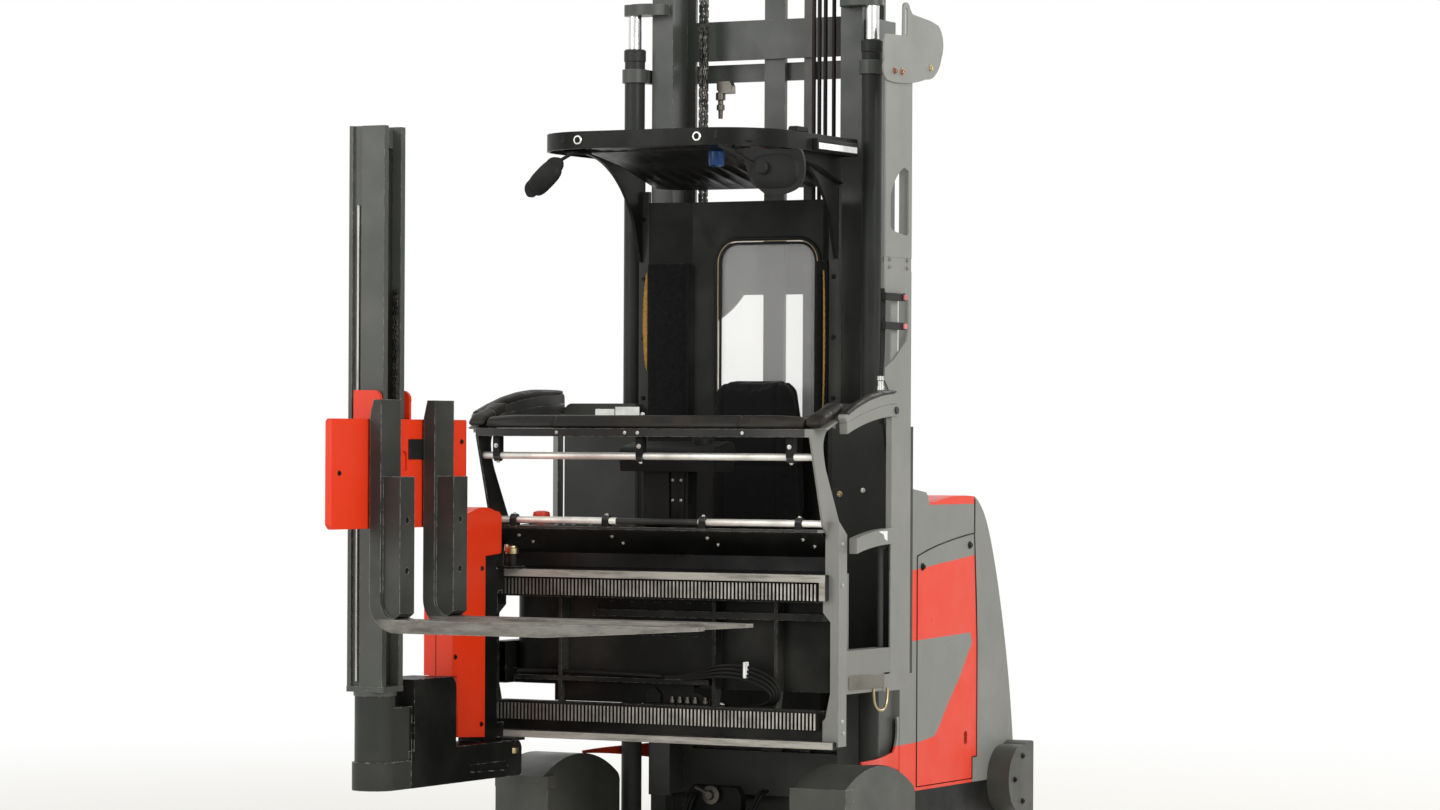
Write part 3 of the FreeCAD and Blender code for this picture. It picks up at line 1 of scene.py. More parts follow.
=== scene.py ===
import bpy
import bmesh
import math
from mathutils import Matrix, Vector


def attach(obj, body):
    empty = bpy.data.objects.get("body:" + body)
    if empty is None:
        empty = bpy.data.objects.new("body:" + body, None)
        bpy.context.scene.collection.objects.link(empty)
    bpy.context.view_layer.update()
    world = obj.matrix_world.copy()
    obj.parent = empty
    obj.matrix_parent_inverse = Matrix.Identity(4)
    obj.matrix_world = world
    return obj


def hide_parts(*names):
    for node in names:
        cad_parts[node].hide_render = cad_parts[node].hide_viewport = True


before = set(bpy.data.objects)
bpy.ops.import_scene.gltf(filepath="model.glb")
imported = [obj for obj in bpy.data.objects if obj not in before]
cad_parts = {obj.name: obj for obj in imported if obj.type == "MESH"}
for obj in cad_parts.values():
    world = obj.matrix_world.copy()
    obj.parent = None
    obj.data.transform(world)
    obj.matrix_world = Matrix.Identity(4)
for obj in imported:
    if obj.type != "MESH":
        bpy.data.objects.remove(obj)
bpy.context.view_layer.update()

# ---- camera and stage ----
CAMERA_PLACE = Vector((7.31, -14.008, 1.55))
CAMERA_AZIMUTH = math.radians(28.0)
CAMERA_ROLL = -0.005
FOCAL_PIXELS = 4400.0
IMAGE_WIDTH = 1440.0
HORIZON_SHIFT = 35.0 / IMAGE_WIDTH
SENSOR_WIDTH = 36.0
FAR_PLANE = 200.0
# name, place, height aimed at, size in metres, watts
LIGHTS = (("key", (9, -5, 5.5), 1.3, 5, 660), ("fill", (-5, -10, 5), 1.3, 6, 380),
    ("back", (3, 9, 7), 1.6, 6, 380))
FLOOR_RADIUS = 8.0
FLOOR_COLOUR = (0.8, 0.785, 0.73, 1)
FADE_START, FADE_END = 2.6, FLOOR_RADIUS - 0.2
GLOW_NEAR = 0.55
CREAM = (0.955, 0.93, 0.84, 1)
WHITE = (1, 1, 1, 1)
SKY = (0.95, 0.97, 1.0, 1)
SKY_STRENGTH = 0.66


def new_object(name, data):
    """An object linked to the scene."""
    thing = bpy.data.objects.new(name, data)
    bpy.context.scene.collection.objects.link(thing)
    return thing


def camera():
    data = bpy.data.cameras.new("camera")
    cam = new_object("camera", data)
    data.sensor_width = SENSOR_WIDTH
    data.lens = FOCAL_PIXELS / IMAGE_WIDTH * SENSOR_WIDTH
    data.shift_y = HORIZON_SHIFT
    data.clip_end = FAR_PLANE
    cam.location = CAMERA_PLACE
    cam.rotation_euler = (math.radians(90.0), CAMERA_ROLL, CAMERA_AZIMUTH)
    bpy.context.scene.camera = cam


def area_light(name, place, height, size, power):
    data = bpy.data.lights.new(name, "AREA")
    data.energy = power
    data.size = size
    light = new_object(name, data)
    light.location = place
    light.rotation_euler = (Vector((0, 0, height)) - Vector(place)).to_track_quat("-Z", "Y").to_euler()


def new_node(tree, kind, **settings):
    """A shader node of one kind, with its settings."""
    node = tree.nodes.new("ShaderNode" + kind)
    for key, value in settings.items():
        setattr(node, key, value)
    return node


def seen_directly(tree):
    """A mask that is 1 for camera, glossy and transmitted rays."""
    rays = new_node(tree, "LightPath").outputs
    seen = rays["Is Camera Ray"]
    for kind in ("Is Glossy Ray", "Is Transmission Ray"):
        either = new_node(tree, "Math", operation="MAXIMUM")
        tree.links.new(seen, either.inputs[0])
        tree.links.new(rays[kind], either.inputs[1])
        seen = either.outputs[0]
    return seen


def blend(tree, one, two, mask, output):
    """Shader one where the mask is 0 and shader two where it is 1, to a tree's output."""
    mix = new_node(tree, "MixShader")
    for source, socket in zip((mask, one.outputs[0], two.outputs[0]), mix.inputs):
        tree.links.new(source, socket)
    tree.links.new(mix.outputs[0], tree.nodes[output].inputs["Surface"])


def floor_material():
    """Pale floor that glows to white away from the truck."""
    t = Tree("floor")
    reach = new_node(t.tree, "VectorMath", operation="LENGTH")
    t.link(t.place, reach.inputs[0])
    fade = t.steps(reach.outputs["Value"], FADE_START, FADE_END, GLOW_NEAR)
    glow = new_node(t.tree, "Emission")
    t.link(t.mix(fade, CREAM, WHITE), glow.inputs["Color"])
    blend(t.tree, t.shader, glow, t.both(seen_directly(t.tree), fade), "Material Output")
    return t.finish(FLOOR_COLOUR, 0.55)


def soft_world():
    """Soft light from all sides, seen as white."""
    world = bpy.data.worlds.new("world")
    bpy.context.scene.world = world
    world.use_nodes = True
    tree = world.node_tree
    soft, white = tree.nodes["Background"], new_node(tree, "Background")
    for node, colour, strength in ((soft, SKY, SKY_STRENGTH), (white, WHITE, 1.0)):
        node.inputs[0].default_value = colour
        node.inputs[1].default_value = strength
    blend(tree, soft, white, seen_directly(tree), "World Output")


def stage():
    bm = bmesh.new()
    bmesh.ops.create_circle(bm, cap_ends=True, segments=96, radius=FLOOR_RADIUS)
    mesh = bpy.data.meshes.new("floor")
    bm.to_mesh(mesh)
    bm.free()
    floor = new_object("floor", mesh)
    floor.data.materials.append(floor_material())
    soft_world()
    for light in LIGHTS:
        area_light(*light)


# ---- node helpers ----
class Tree:
    """Short calls for building a material's nodes."""

    def __init__(self, name):
        self.material = bpy.data.materials.new(name)
        self.material.use_nodes = True
        self.tree = self.material.node_tree
        self.link = self.tree.links.new
        self.shader = self.tree.nodes["Principled BSDF"]
        self.place = new_node(self.tree, "TexCoord").outputs["Object"]

    def put(self, value, socket):
        if isinstance(value, bpy.types.NodeSocket):
            self.link(value, socket)
        elif isinstance(value, (tuple, list)) and len(value) == 3 and socket.type == "RGBA":
            socket.default_value = (*value, 1)
        else:
            socket.default_value = value

    def math(self, kind, a, b=0.0, clamp=False):
        node = new_node(self.tree, "Math", operation=kind, use_clamp=clamp)
        self.put(a, node.inputs[0])
        self.put(b, node.inputs[1])
        return node.outputs[0]

    def both(self, a, b):
        return self.math("MULTIPLY", a, b)

    def either(self, a, b):
        return self.math("MAXIMUM", a, b)

    def above(self, value, limit):
        return self.math("GREATER_THAN", value, limit)

    def below(self, value, limit):
        return self.math("LESS_THAN", value, limit)

    def inverse(self, value):
        return self.math("SUBTRACT", 1.0, value)

    def slope(self, value, rise, start):
        """start + rise * value"""
        return self.math("ADD", self.both(value, rise), start)

    def cells(self, scale, **settings):
        node = new_node(self.tree, "TexVoronoi", **settings)
        node.inputs["Scale"].default_value = scale
        self.link(self.place, node.inputs["Vector"])
        return node.outputs["Distance"]

    def noise(self, scale, detail=4.0, roughness=0.55, stretch=None):
        node = new_node(self.tree, "TexNoise")
        for key, value in (("Scale", scale), ("Detail", detail), ("Roughness", roughness)):
            node.inputs[key].default_value = value
        source = self.place
        if stretch:
            mapping = new_node(self.tree, "Mapping")
            mapping.inputs["Scale"].default_value = stretch
            self.link(source, mapping.inputs["Vector"])
            source = mapping.outputs[0]
        self.link(source, node.inputs["Vector"])
        return node.outputs["Fac"]

    def steps(self, value, low, high, to_low=0.0, to_high=1.0):
        """A smooth step from one value to another between two limits."""
        node = new_node(self.tree, "MapRange", interpolation_type="SMOOTHSTEP")
        for index, number in enumerate((low, high, to_low, to_high)):
            node.inputs[index + 1].default_value = number
        self.put(value, node.inputs[0])
        return node.outputs[0]

    def mix(self, mask, a, b):
        """Colour a where the mask is 0, colour b where it is 1."""
        node = new_node(self.tree, "Mix", data_type="RGBA")
        self.put(mask, node.inputs[0])
        self.put(a, node.inputs[6])
        self.put(b, node.inputs[7])
        return node.outputs[2]

    def axes(self):
        node = new_node(self.tree, "SeparateXYZ")
        self.link(self.place, node.inputs[0])
        return node.outputs

    def bevel(self, radius):
        node = new_node(self.tree, "Bevel", samples=4)
        node.inputs["Radius"].default_value = radius
        return node.outputs[0]

    def edges(self, radius):
        """1 where the surface turns sharply within the radius."""
        node = new_node(self.tree, "VectorMath", operation="DOT_PRODUCT")
        geometry = new_node(self.tree, "NewGeometry")
        self.link(self.bevel(radius), node.inputs[0])
        self.link(geometry.outputs["Normal"], node.inputs[1])
        return self.steps(node.outputs["Value"], 0.98, 0.8)

    def bump(self, height, strength, distance, normal=None):
        node = new_node(self.tree, "Bump")
        node.inputs["Strength"].default_value = strength
        node.inputs["Distance"].default_value = distance
        self.put(height, node.inputs["Height"])
        if normal is not None:
            self.link(normal, node.inputs["Normal"])
        return node.outputs[0]

    def finish(self, colour, roughness, normal=None, metallic=0.0, **sockets):
        self.put(colour, self.shader.inputs["Base Color"])
        self.put(roughness, self.shader.inputs["Roughness"])
        self.shader.inputs["Metallic"].default_value = metallic
        if normal is not None:
            self.link(normal, self.shader.inputs["Normal"])
        for key, value in sockets.items():
            self.shader.inputs[key.replace("_", " ")].default_value = value
        return self.material


# ---- materials ----
GREY = (0.19, 0.191, 0.17)
DARK = (0.0062, 0.0068, 0.0056)
SOOT = (0.0045, 0.0048, 0.0044)
STEEL = (0.062, 0.066, 0.058)
RED = (0.72, 0.036, 0.006)
BARE = (0.3, 0.28, 0.25)


def paint(name, colour, roughness=0.42, wear=0.35, edge=BARE, dust=0.15, regions=None):
    """Sprayed paint: cloudy gloss, orange peel, dust, scuffs and chipped, rounded edges."""
    t = Tree(name)
    cloud = t.noise(3.1, 6.0)
    base = regions(t) if regions else colour
    light = t.mix(t.steps(cloud, 0.35, 0.75), base, t.mix(dust, base, (0.36, 0.34, 0.3)))
    fine = t.noise(38.0, 8.0, 0.7)
    chips = t.math("MULTIPLY", t.edges(0.0035), t.steps(fine, 0.62 - 0.3 * wear, 0.7 - 0.2 * wear), True)
    scuff = t.both(t.steps(t.noise(5.0, 9.0, 0.75, stretch=(1, 1, 7)), 0.66, 0.74), 0.22 * wear)
    worn = t.mix(t.either(chips, scuff), light, edge)
    rough = t.steps(t.noise(9.0, 5.0), 0.2, 0.8, roughness - 0.08, roughness + 0.12)
    peel = t.bump(t.noise(420.0, 2.0), 0.1, 0.0006, t.bevel(0.0018))
    gloss = 0.32 if colour[0] > 0.03 else 0.11
    return t.finish(worn, rough, peel, Specular_IOR_Level=gloss)


def side_regions(t):
    """Red and grey areas of the body's sides: grey band on top, grey swoosh within the red."""
    band_slope, swoosh_slope = (0.0833, 1.0542), (0.0281, 0.8176)
    swoosh_front = [(0.0, 0.19), (0.456, 0.195), (0.459, 0.4), (0.474, 0.535), (0.512, 0.579), (0.59, 0.653),
        (0.68, 0.751), (0.803, 0.857), (0.838, 0.842)]
    tail_top, side_face, nose_back, nose_low = 0.457, 0.4605, 0.224, 0.5
    crown_low, crown_front, crown_back = 1.318, 0.484, 0.9
    x, y, z = t.axes()
    band = t.above(z, t.slope(y, *band_slope))
    curve = new_node(t.tree, "FloatCurve")
    points = curve.mapping.curves[0].points
    points[0].location = swoosh_front[0]
    points[1].location = (1.0, 0.8)
    for place in swoosh_front[1:]:
        points.new(*place)
    for point in points:
        point.handle_type = "VECTOR"
    curve.mapping.update()
    t.link(z, curve.inputs["Value"])
    swoosh = t.both(t.below(y, curve.outputs[0]), t.below(z, t.slope(y, *swoosh_slope)))
    grey = t.both(t.either(band, swoosh), t.inverse(t.below(z, tail_top)))
    side = t.above(t.math("ABSOLUTE", x), side_face)
    front = t.below(y, nose_back)
    red_top = t.both(t.both(t.above(y, crown_front), t.above(z, crown_low)), t.below(y, crown_back))
    red_side = t.both(side, t.inverse(grey))
    red_side = t.both(red_side, t.inverse(t.both(front, t.above(z, nose_low))))
    return t.mix(t.either(red_side, red_top), GREY, RED)


def split(axis, limit, low_colour, high_colour, absolute=False):
    """Two paints that meet where a coordinate passes a limit."""
    def regions(t):
        value = t.axes()["XYZ".index(axis)]
        if absolute:
            value = t.math("ABSOLUTE", value)
        return t.mix(t.above(value, limit), low_colour, high_colour)
    return regions


def cab_regions(t):
    """Grey outer faces, black inside; on the right only the outermost skin is grey."""
    x = t.axes()[0]
    return t.mix(t.either(t.above(x, 0.6395), t.below(x, -0.699)), DARK, GREY)


def carriage_regions(t):
    """Slewing column in mast grey, its arm and carriage black."""
    y = t.axes()[1]
    return t.mix(t.below(y, -1.455), SOOT, (0.034, 0.036, 0.032))


def fork_regions(t):
    """Blades rubbed to dirty steel, shanks painted."""
    x, _, z = t.axes()
    worn = t.steps(t.noise(11.0, 8.0, 0.7, stretch=(0.6, 3, 3)), 0.35, 0.7)
    blade = t.mix(worn, (0.2, 0.19, 0.165), (0.075, 0.066, 0.055))
    blades = t.both(t.steps(x, -0.5, -0.42), t.below(z, 0.955))
    fin = t.above(x, -0.5)
    return t.mix(blades, t.mix(fin, (0.056, 0.06, 0.054), (0.026, 0.028, 0.024)), blade)


def strut_regions(t):
    """Grey outer faces of the left strut and posts, black bar, shelf and right strut."""
    x, _, z = t.axes()
    low = t.both(t.below(z, 1.2), t.above(t.math("ABSOLUTE", x), 0.6))
    left = t.above(x, 0.632)
    return t.mix(t.either(left, t.both(low, t.above(x, 0.0))), DARK, GREY)


def rail_regions(t):
    """Flange noses rubbed bright by the turret's rollers."""
    y = t.axes()[1]
    streaks = t.steps(t.noise(12.0, 8.0, 0.7, stretch=(0.3, 3, 3)), 0.3, 0.6, 0.35, 1.0)
    nose = t.both(t.below(y, -0.7455), streaks)
    return t.mix(nose, DARK, (0.42, 0.4, 0.35))


def rack_steel(name):
    """Bright, evenly worn tooth fronts over black, greasy gaps."""
    t = Tree(name)
    x, y, _ = t.axes()
    front = t.inverse(t.steps(y, -0.7412, -0.7385))
    film = t.steps(t.noise(14.0, 7.0, 0.7), 0.3, 0.72, 1.0, 0.45)
    film = t.both(film, t.steps(x, -0.62, 0.2, 0.4, 1.0))
    shade = t.mix(t.both(front, film), (0.01, 0.008, 0.006), (0.52, 0.5, 0.44))
    return t.finish(shade, t.steps(front, 0.0, 1.0, 0.6, 0.4), t.bump(t.noise(160.0, 4.0), 0.15, 0.0006), 0.35,
        Specular_IOR_Level=0.3)


def metal(name, colour, roughness=0.3, streak=(1, 1, 12), depth=0.08):
    """Bare or plated metal with drawn streaks and smears."""
    t = Tree(name)
    line = t.noise(90.0, 5.0, 0.6, stretch=streak)
    smear = t.noise(6.0, 6.0)
    shade = t.mix(t.steps(smear, 0.35, 0.75), colour, tuple(c * 0.62 for c in colour))
    rough = t.steps(t.math("ADD", t.both(line, 0.5), t.both(smear, 0.5)), 0.2, 0.8, max(roughness - 0.1, 0.03),
        roughness + 0.15)
    return t.finish(shade, rough, t.bump(line, depth, 0.0004, t.bevel(0.0012)), 1.0)


def greasy_steel(name, colour, grease=(0.018, 0.013, 0.009), amount=0.5):
    """Machined steel with old grease that gathers away from the edges."""
    t = Tree(name)
    dirt = t.steps(t.noise(26.0, 8.0, 0.7), 0.62 - 0.3 * amount, 0.75 - 0.2 * amount)
    dirt = t.math("MULTIPLY", dirt, t.inverse(t.both(t.edges(0.0025), 0.85)), True)
    shade = t.mix(dirt, colour, grease)
    rough = t.steps(dirt, 0.0, 1.0, 0.34, 0.62)
    return t.finish(shade, rough, t.bump(t.noise(160.0, 4.0), 0.25, 0.0008, t.bevel(0.001)), 0.75)


def plastic(name, colour, roughness=0.55, grain=0.25):
    """Moulded plastic or rubber with a fine grain."""
    t = Tree(name)
    cells = t.cells(520.0)
    shade = t.mix(t.steps(t.noise(7.0, 6.0), 0.3, 0.75), colour, tuple(c * 1.9 + 0.004 for c in colour))
    rough = t.steps(t.noise(14.0, 4.0), 0.2, 0.8, roughness - 0.1, roughness + 0.1)
    return t.finish(shade, rough, t.bump(cells, grain, 0.0006, t.bevel(0.0015)), Specular_IOR_Level=0.18)


def leather(name, colour, worn):
    """Padded vinyl: pebbled grain, rubbed lighter on the crown."""
    t = Tree(name)
    cells = t.cells(260.0, feature="SMOOTH_F1")
    creases = t.noise(60.0, 6.0, 0.7)
    height = t.math("ADD", t.both(cells, 0.7), t.both(creases, 0.6))
    rub = t.steps(t.noise(8.0, 7.0, 0.65), 0.45, 0.72)
    return t.finish(t.mix(rub, colour, worn), t.steps(rub, 0.0, 1.0, 0.42, 0.62), t.bump(height, 0.35, 0.0012),
        Sheen_Weight=0.02, Specular_IOR_Level=0.22)


THREADS = 900.0 / 6.283


def fabric(name, colour, thread):
    """Woven cloth: two crossing wave patterns, fuzz and sheen."""
    t = Tree(name)
    waves = []
    for direction in ("X", "Z"):
        wave = new_node(t.tree, "TexWave", bands_direction=direction)
        wave.inputs["Scale"].default_value = THREADS
        wave.inputs["Distortion"].default_value = 0.6
        t.link(t.place, wave.inputs["Vector"])
        waves.append(wave.outputs["Fac"])
    weave = t.both(waves[0], waves[1])
    fuzz = t.noise(30.0, 8.0, 0.7)
    shade = t.mix(t.both(weave, t.steps(fuzz, 0.3, 0.7, 0.4, 1.0)), colour, thread)
    return t.finish(shade, 0.88, t.bump(t.math("ADD", weave, t.both(fuzz, 0.6)), 0.4, 0.0008),
        Sheen_Weight=0.06, Specular_IOR_Level=0.1)


def foam(name, colour):
    """Open-celled foam: pitted and dusty."""
    t = Tree(name)
    cells = t.cells(330.0)
    fine = t.noise(70.0, 9.0, 0.8)
    shade = t.mix(t.steps(fine, 0.3, 0.8), colour, tuple(c * 2.4 + 0.004 for c in colour))
    height = t.math("ADD", cells, fine)
    return t.finish(shade, 0.95, t.bump(height, 0.8, 0.002), Sheen_Weight=0.05, Specular_IOR_Level=0.08)


def glass(name):
    """Slightly smeared safety glass."""
    t = Tree(name)
    # The near-white base colour fills the 17% share that is not transmitted: a painted reflection haze over
    # what is seen through the glass.
    t.shader.inputs["Transmission Weight"].default_value = 0.83
    t.shader.inputs["IOR"].default_value = 1.12
    smear = t.steps(t.noise(5.0, 7.0), 0.3, 0.8, 0.01, 0.06)
    return t.finish((0.97, 0.97, 0.95), smear)


M = dict(
    grey=paint("grey paint", GREY),
    dark=paint("dark paint", DARK, 0.36, 0.2, (0.12, 0.12, 0.11), 0.05),
    soot=paint("black paint", SOOT, 0.34, 0.3, (0.1, 0.1, 0.09), 0.04),
    steel_paint=paint("mast paint", STEEL, 0.38, 0.5, BARE, 0.08),
    red=paint("red paint", RED, 0.36, 0.45, (0.1, 0.06, 0.05), 0.03),
    body=paint("two-tone body paint", GREY, 0.34, 0.1, BARE, 0.04, side_regions),
    cab=paint("cab base paint", DARK, 0.38, 0.4, (0.22, 0.21, 0.19), 0.06, cab_regions),
    forks=paint("fork steel", STEEL, 0.45, 0.7, (0.42, 0.4, 0.36), 0.1, fork_regions),
    leg=paint("leg paint", (0.044, 0.046, 0.039), 0.4, 0.5, BARE, 0.12),
    strut=paint("front frame paint", GREY, 0.4, 0.7, BARE, 0.08, strut_regions),
    rail=paint("rail paint", DARK, 0.4, 0.6, (0.2, 0.19, 0.17), 0.1, rail_regions),
    column=paint("turret paint", SOOT, 0.38, 0.5, (0.55, 0.54, 0.5), 0.05, carriage_regions),
    cylinder=paint("cylinder paint", (0.03, 0.032, 0.028), 0.34, 0.3, BARE, 0.05),
    gate_in=paint("gate paint", GREY, 0.4, 0.5, BARE, 0.08, split("X", -0.712, GREY, DARK)),
    worn_plate=metal("worn sill plate", (0.2, 0.19, 0.155), 0.42),
    wall=paint("rear wall paint", DARK, 0.36, 0.2, (0.12, 0.12, 0.11), 0.05,
        split("X", 0.362, DARK, (0.036, 0.038, 0.034), True)),
    gunmetal=metal("dull steel", (0.16, 0.15, 0.13), 0.42),
    copper=metal("copper plating", (0.42, 0.22, 0.14), 0.34),
    chrome=metal("chrome", (0.8, 0.8, 0.78), 0.1, (1, 1, 0.2), 0.02),
    zinc=metal("zinc plating", (0.62, 0.62, 0.58), 0.32),
    brass=metal("brass", (0.5, 0.4, 0.22), 0.34),
    bare=metal("machined steel", (0.48, 0.46, 0.42), 0.34, (12, 1, 1)),
    rack=rack_steel("rack steel"),
    chain=greasy_steel("chain steel", (0.11, 0.105, 0.095), (0.006, 0.005, 0.004), 0.8),
    tyre=plastic("tyre", (0.022, 0.022, 0.022), 0.75, 0.5),
    plastic=plastic("black plastic", (0.0055, 0.0055, 0.005)),
    rubber=plastic("rubber", (0.005, 0.005, 0.0045), 0.6, 0.1),
    pad=leather("pad vinyl", (0.0085, 0.0075, 0.006), (0.026, 0.02, 0.013)),
    seat=fabric("seat cloth", (0.003, 0.003, 0.003), (0.012, 0.012, 0.011)),
    foam=foam("foam", (0.004, 0.004, 0.004)),
    glass=glass("glass"),
    tube=metal("satin tube", (0.93, 0.91, 0.84), 0.55, (0.3, 9, 9), 0.03),
    hose=plastic("mast hose", (0.01, 0.007, 0.005), 0.5, 0.1),
    core=foam("torn yellow foam", (0.24, 0.13, 0.03)),
    plate=plastic("pale plate", (0.62, 0.62, 0.58), 0.45, 0.02),
    tab=plastic("faded tab", (0.35, 0.1, 0.1), 0.5, 0.05),
    blue=plastic("blue lamp", (0.01, 0.035, 0.12), 0.2, 0.03),
    lens=plastic("lamp lens", (0.75, 0.76, 0.74), 0.15, 0.05),
)


def wear_material(node, material):
    """Every face of a CAD node in one material."""
    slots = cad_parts[node].data.materials
    if not len(slots):
        slots.append(material)
    for index in range(len(slots)):
        slots[index] = material


# material of each CAD node
FINISHES = {
    "soot": "chassis_frame battery front_panel seat_base", "dark": "drive_steer overhead_guard",
    "leg": "load_leg_left load_leg_right rear_guards", "tyre": "load_wheel_left load_wheel_right drive_wheel",
    "body": "body_front_cover side_cover_left side_cover_right", "grey": "rear_hood mast_cover_left gate_left",
    "steel_paint": "lifting_lug outer_mast moving_stage aux_mast", "cylinder": "lift_cylinders",
    "chrome": "lift_rods", "cab": "cab_base", "strut": "cab_front_frame", "pad": "front_pad",
    "wall": "rear_wall", "glass": "window_glass", "seat": "seat_cushion seat_back", "foam": "side_pads",
    "plastic": "console mirrors", "gate_in": "gate_right", "rail": "traverse_rails", "rack": "racks",
    "column": "turret_carriage", "red": "turret_cover fork_carriage", "forks": "forks",
}
# slot of the loose pieces in each material
SLOTS = {key: slot for slot, keys in {
    "dark_paint": "soot dark", "black_plastic": "rubber plastic hose tab blue", "chrome": "zinc copper tube",
    "worn_steel": "gunmetal brass bare chain worn_plate", "grey_paint": "plate grey", "glass": "lens",
    "red_paint": "red", "foam": "core foam", "pad": "pad", "seat_fabric": "seat",
}.items() for key in keys.split()}
SIDES = ((1, "left"), (-1, "right"))
LEFT, FRONT, UP, DOWN = (1, 0, 0), (0, -1, 0), (0, 0, 1), (0, 0, -1)


def dress_nodes():
    for key, nodes in FINISHES.items():
        for node in nodes.split():
            wear_material(node, M[key])


# ---- mesh helpers ----
def mesh_from(bm, name):
    bmesh.ops.recalc_face_normals(bm, faces=bm.faces)
    mesh = bpy.data.meshes.new(name)
    bm.to_mesh(mesh)
    bm.free()
    return mesh


def smoothed(mesh):
    mesh.polygons.foreach_set("use_smooth", [True] * len(mesh.polygons))


def place_piece(name, data, material, body="cab", smooth=True, slot=None):
    """Link a piece, give it its material, and let it ride a body."""
    if isinstance(data, bmesh.types.BMesh):
        data = mesh_from(data, name)
    piece = new_object(name, data)
    data.materials.append(M[material])
    if smooth:
        smoothed(data)
    slot = slot or SLOTS[material]
    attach(piece, body)
    return piece


def add_bevel(piece, width, segments=3):
    bevel = piece.modifiers.new("edges", "BEVEL")
    bevel.width = width
    bevel.segments = segments
    bevel.limit_method = "ANGLE"
    bevel.harden_normals = True


def points_mm(numbers, size):
    return [tuple(n / 1000 for n in numbers[i:i + size]) for i in range(0, len(numbers), size)]


def mm2(*numbers):
    """Points of an outline from their coordinates in millimetres."""
    return points_mm(numbers, 2)


def mm3(*numbers):
    """Points in space from their coordinates in millimetres."""
    return points_mm(numbers, 3)


def rect(a0, b0, a1, b1):
    return [(a0, b0), (a1, b0), (a1, b1), (a0, b1)]


def bridge(bm, one, two):
    """Quads between two closed rings of vertices."""
    count = len(one)
    for i in range(count):
        bm.faces.new((one[i], one[(i + 1) % count], two[(i + 1) % count], two[i]))


def around(steps):
    """Cosine and sine at equal steps round a circle."""
    angles = [2 * math.pi * i / steps for i in range(steps)]
    return [(math.cos(a), math.sin(a)) for a in angles]


def skin(bm, rings):
    """A surface through a row of closed rings, with flat ends."""
    for one, two in zip(rings, rings[1:]):
        bridge(bm, one, two)
    bm.faces.new(rings[0][::-1])
    bm.faces.new(rings[-1])


def extrude_outline(bm, outline, plane, a, b):
    """A prism over an outline in plane "yz", "xz" or "xy", from a to b along the third axis."""
    third = {"yz": 0, "xz": 1, "xy": 2}[plane]
    low, high = ([bm.verts.new((*p[:third], depth, *p[third:])) for p in outline] for depth in (a, b))
    bm.faces.new(low)
    bm.faces.new(high[::-1])
    bridge(bm, low, high)


def prism(name, outline, plane, a, b, material, bevel=0.0015, body="cab"):
    bm = bmesh.new()
    extrude_outline(bm, outline, plane, a, b)
    add_bevel(place_piece(name, bm, material, body), bevel)


def turned(bm, profile, centre, axis, steps=24):
    """Revolve (radius, height) points about an axis through centre."""
    turn = Vector(UP).rotation_difference(Vector(axis)).to_matrix()
    rings = []
    for radius, height in profile:
        ring = [Vector((radius * c, radius * s, height)) for c, s in around(steps)]
        rings.append([bm.verts.new(Vector(centre) + turn @ local) for local in ring])
    skin(bm, rings)


def lathe(name, profile, centres, axis, material, body="cab"):
    """The same turned part at each centre."""
    bm = bmesh.new()
    for centre in centres:
        turned(bm, profile, centre, axis, 28)
    add_bevel(place_piece(name, bm, material, body), 0.0006, 2)


# radius and height as shares of a bolt's radius
WASHER = ((1.5, 0.22), (1.35, 0.3))
BOLT_HEAD = ((1, 0), (1, 0.62), (0.86, 0.75), (0.5, 0.75), (0.45, 0.4))


def screws(name, places, axis, radius, material="zinc", body="cab", sides=6, slot=None):
    """Bolts with a washer, a chamfered head and a socket."""
    bm = bmesh.new()
    scaled = lambda shares: [(radius * a, radius * b) for a, b in shares]
    for centre in places:
        base = Vector(centre)
        turned(bm, [(radius * 1.5, -0.001), *scaled(WASHER)], base, axis, 20)
        turned(bm, scaled(BOLT_HEAD), base + Vector(axis) * radius * 0.25, axis, sides)
    place_piece(name, bm, material, body, False, slot)


def line(name, points, radius, material, body="cab", kind="NURBS", cyclic=False, slot=None):
    """A round tube, hose or cable along a smooth line."""
    data = bpy.data.curves.new(name, "CURVE")
    data.dimensions = "3D"
    data.bevel_depth = radius
    data.bevel_resolution = 3
    data.resolution_u = 10
    data.use_fill_caps = True
    spline = data.splines.new(kind)
    spline.points.add(len(points) - 1)
    for place, point in zip(points, spline.points):
        point.co = (*place, 1)
    spline.use_cyclic_u = cyclic
    if kind == "NURBS":
        spline.order_u = 4
        spline.use_endpoint_u = not cyclic
    place_piece(name, data, material, body, False, slot)


CHAIN_LEAVES = 4


def link_outline(pitch, radius, steps=7):
    """Waisted figure-of-eight side plate of a leaf chain."""
    outline = []
    for centre, start in ((pitch / 2, 0.0), (-pitch / 2, math.pi)):
        for i in range(steps):
            angle = start - math.pi / 2 * 1.25 + math.pi * 1.25 * i / (steps - 1)
            outline.append((radius * math.sin(angle), centre + radius * math.cos(angle)))
    return outline


def leaf_chain(name, x, y, z0, z1, pitch, across, body):
    """Leaf chain hanging straight: alternating plates on pins that lie along X."""
    bm = bmesh.new()
    radius = pitch * 0.4
    thick = across / CHAIN_LEAVES
    for step in range(int((z1 - z0) / pitch)):
        middle = z0 + pitch * (step + 0.5)
        outline = [(y + a, middle + b) for a, b in link_outline(pitch, radius)]
        for leaf in range(step % 2, CHAIN_LEAVES, 2):
            a = x - across / 2 + leaf * thick
            extrude_outline(bm, outline, "yz", a + thick * 0.04, a + thick * 0.96)
        pin = Vector((x, y, middle + pitch / 2)) - Vector(LEFT) * across * 0.56
        turned(bm, [(radius * 0.45, 0), (radius * 0.45, across * 1.12)], pin, LEFT, 8)
    place_piece(name, bm, "chain", body, False)


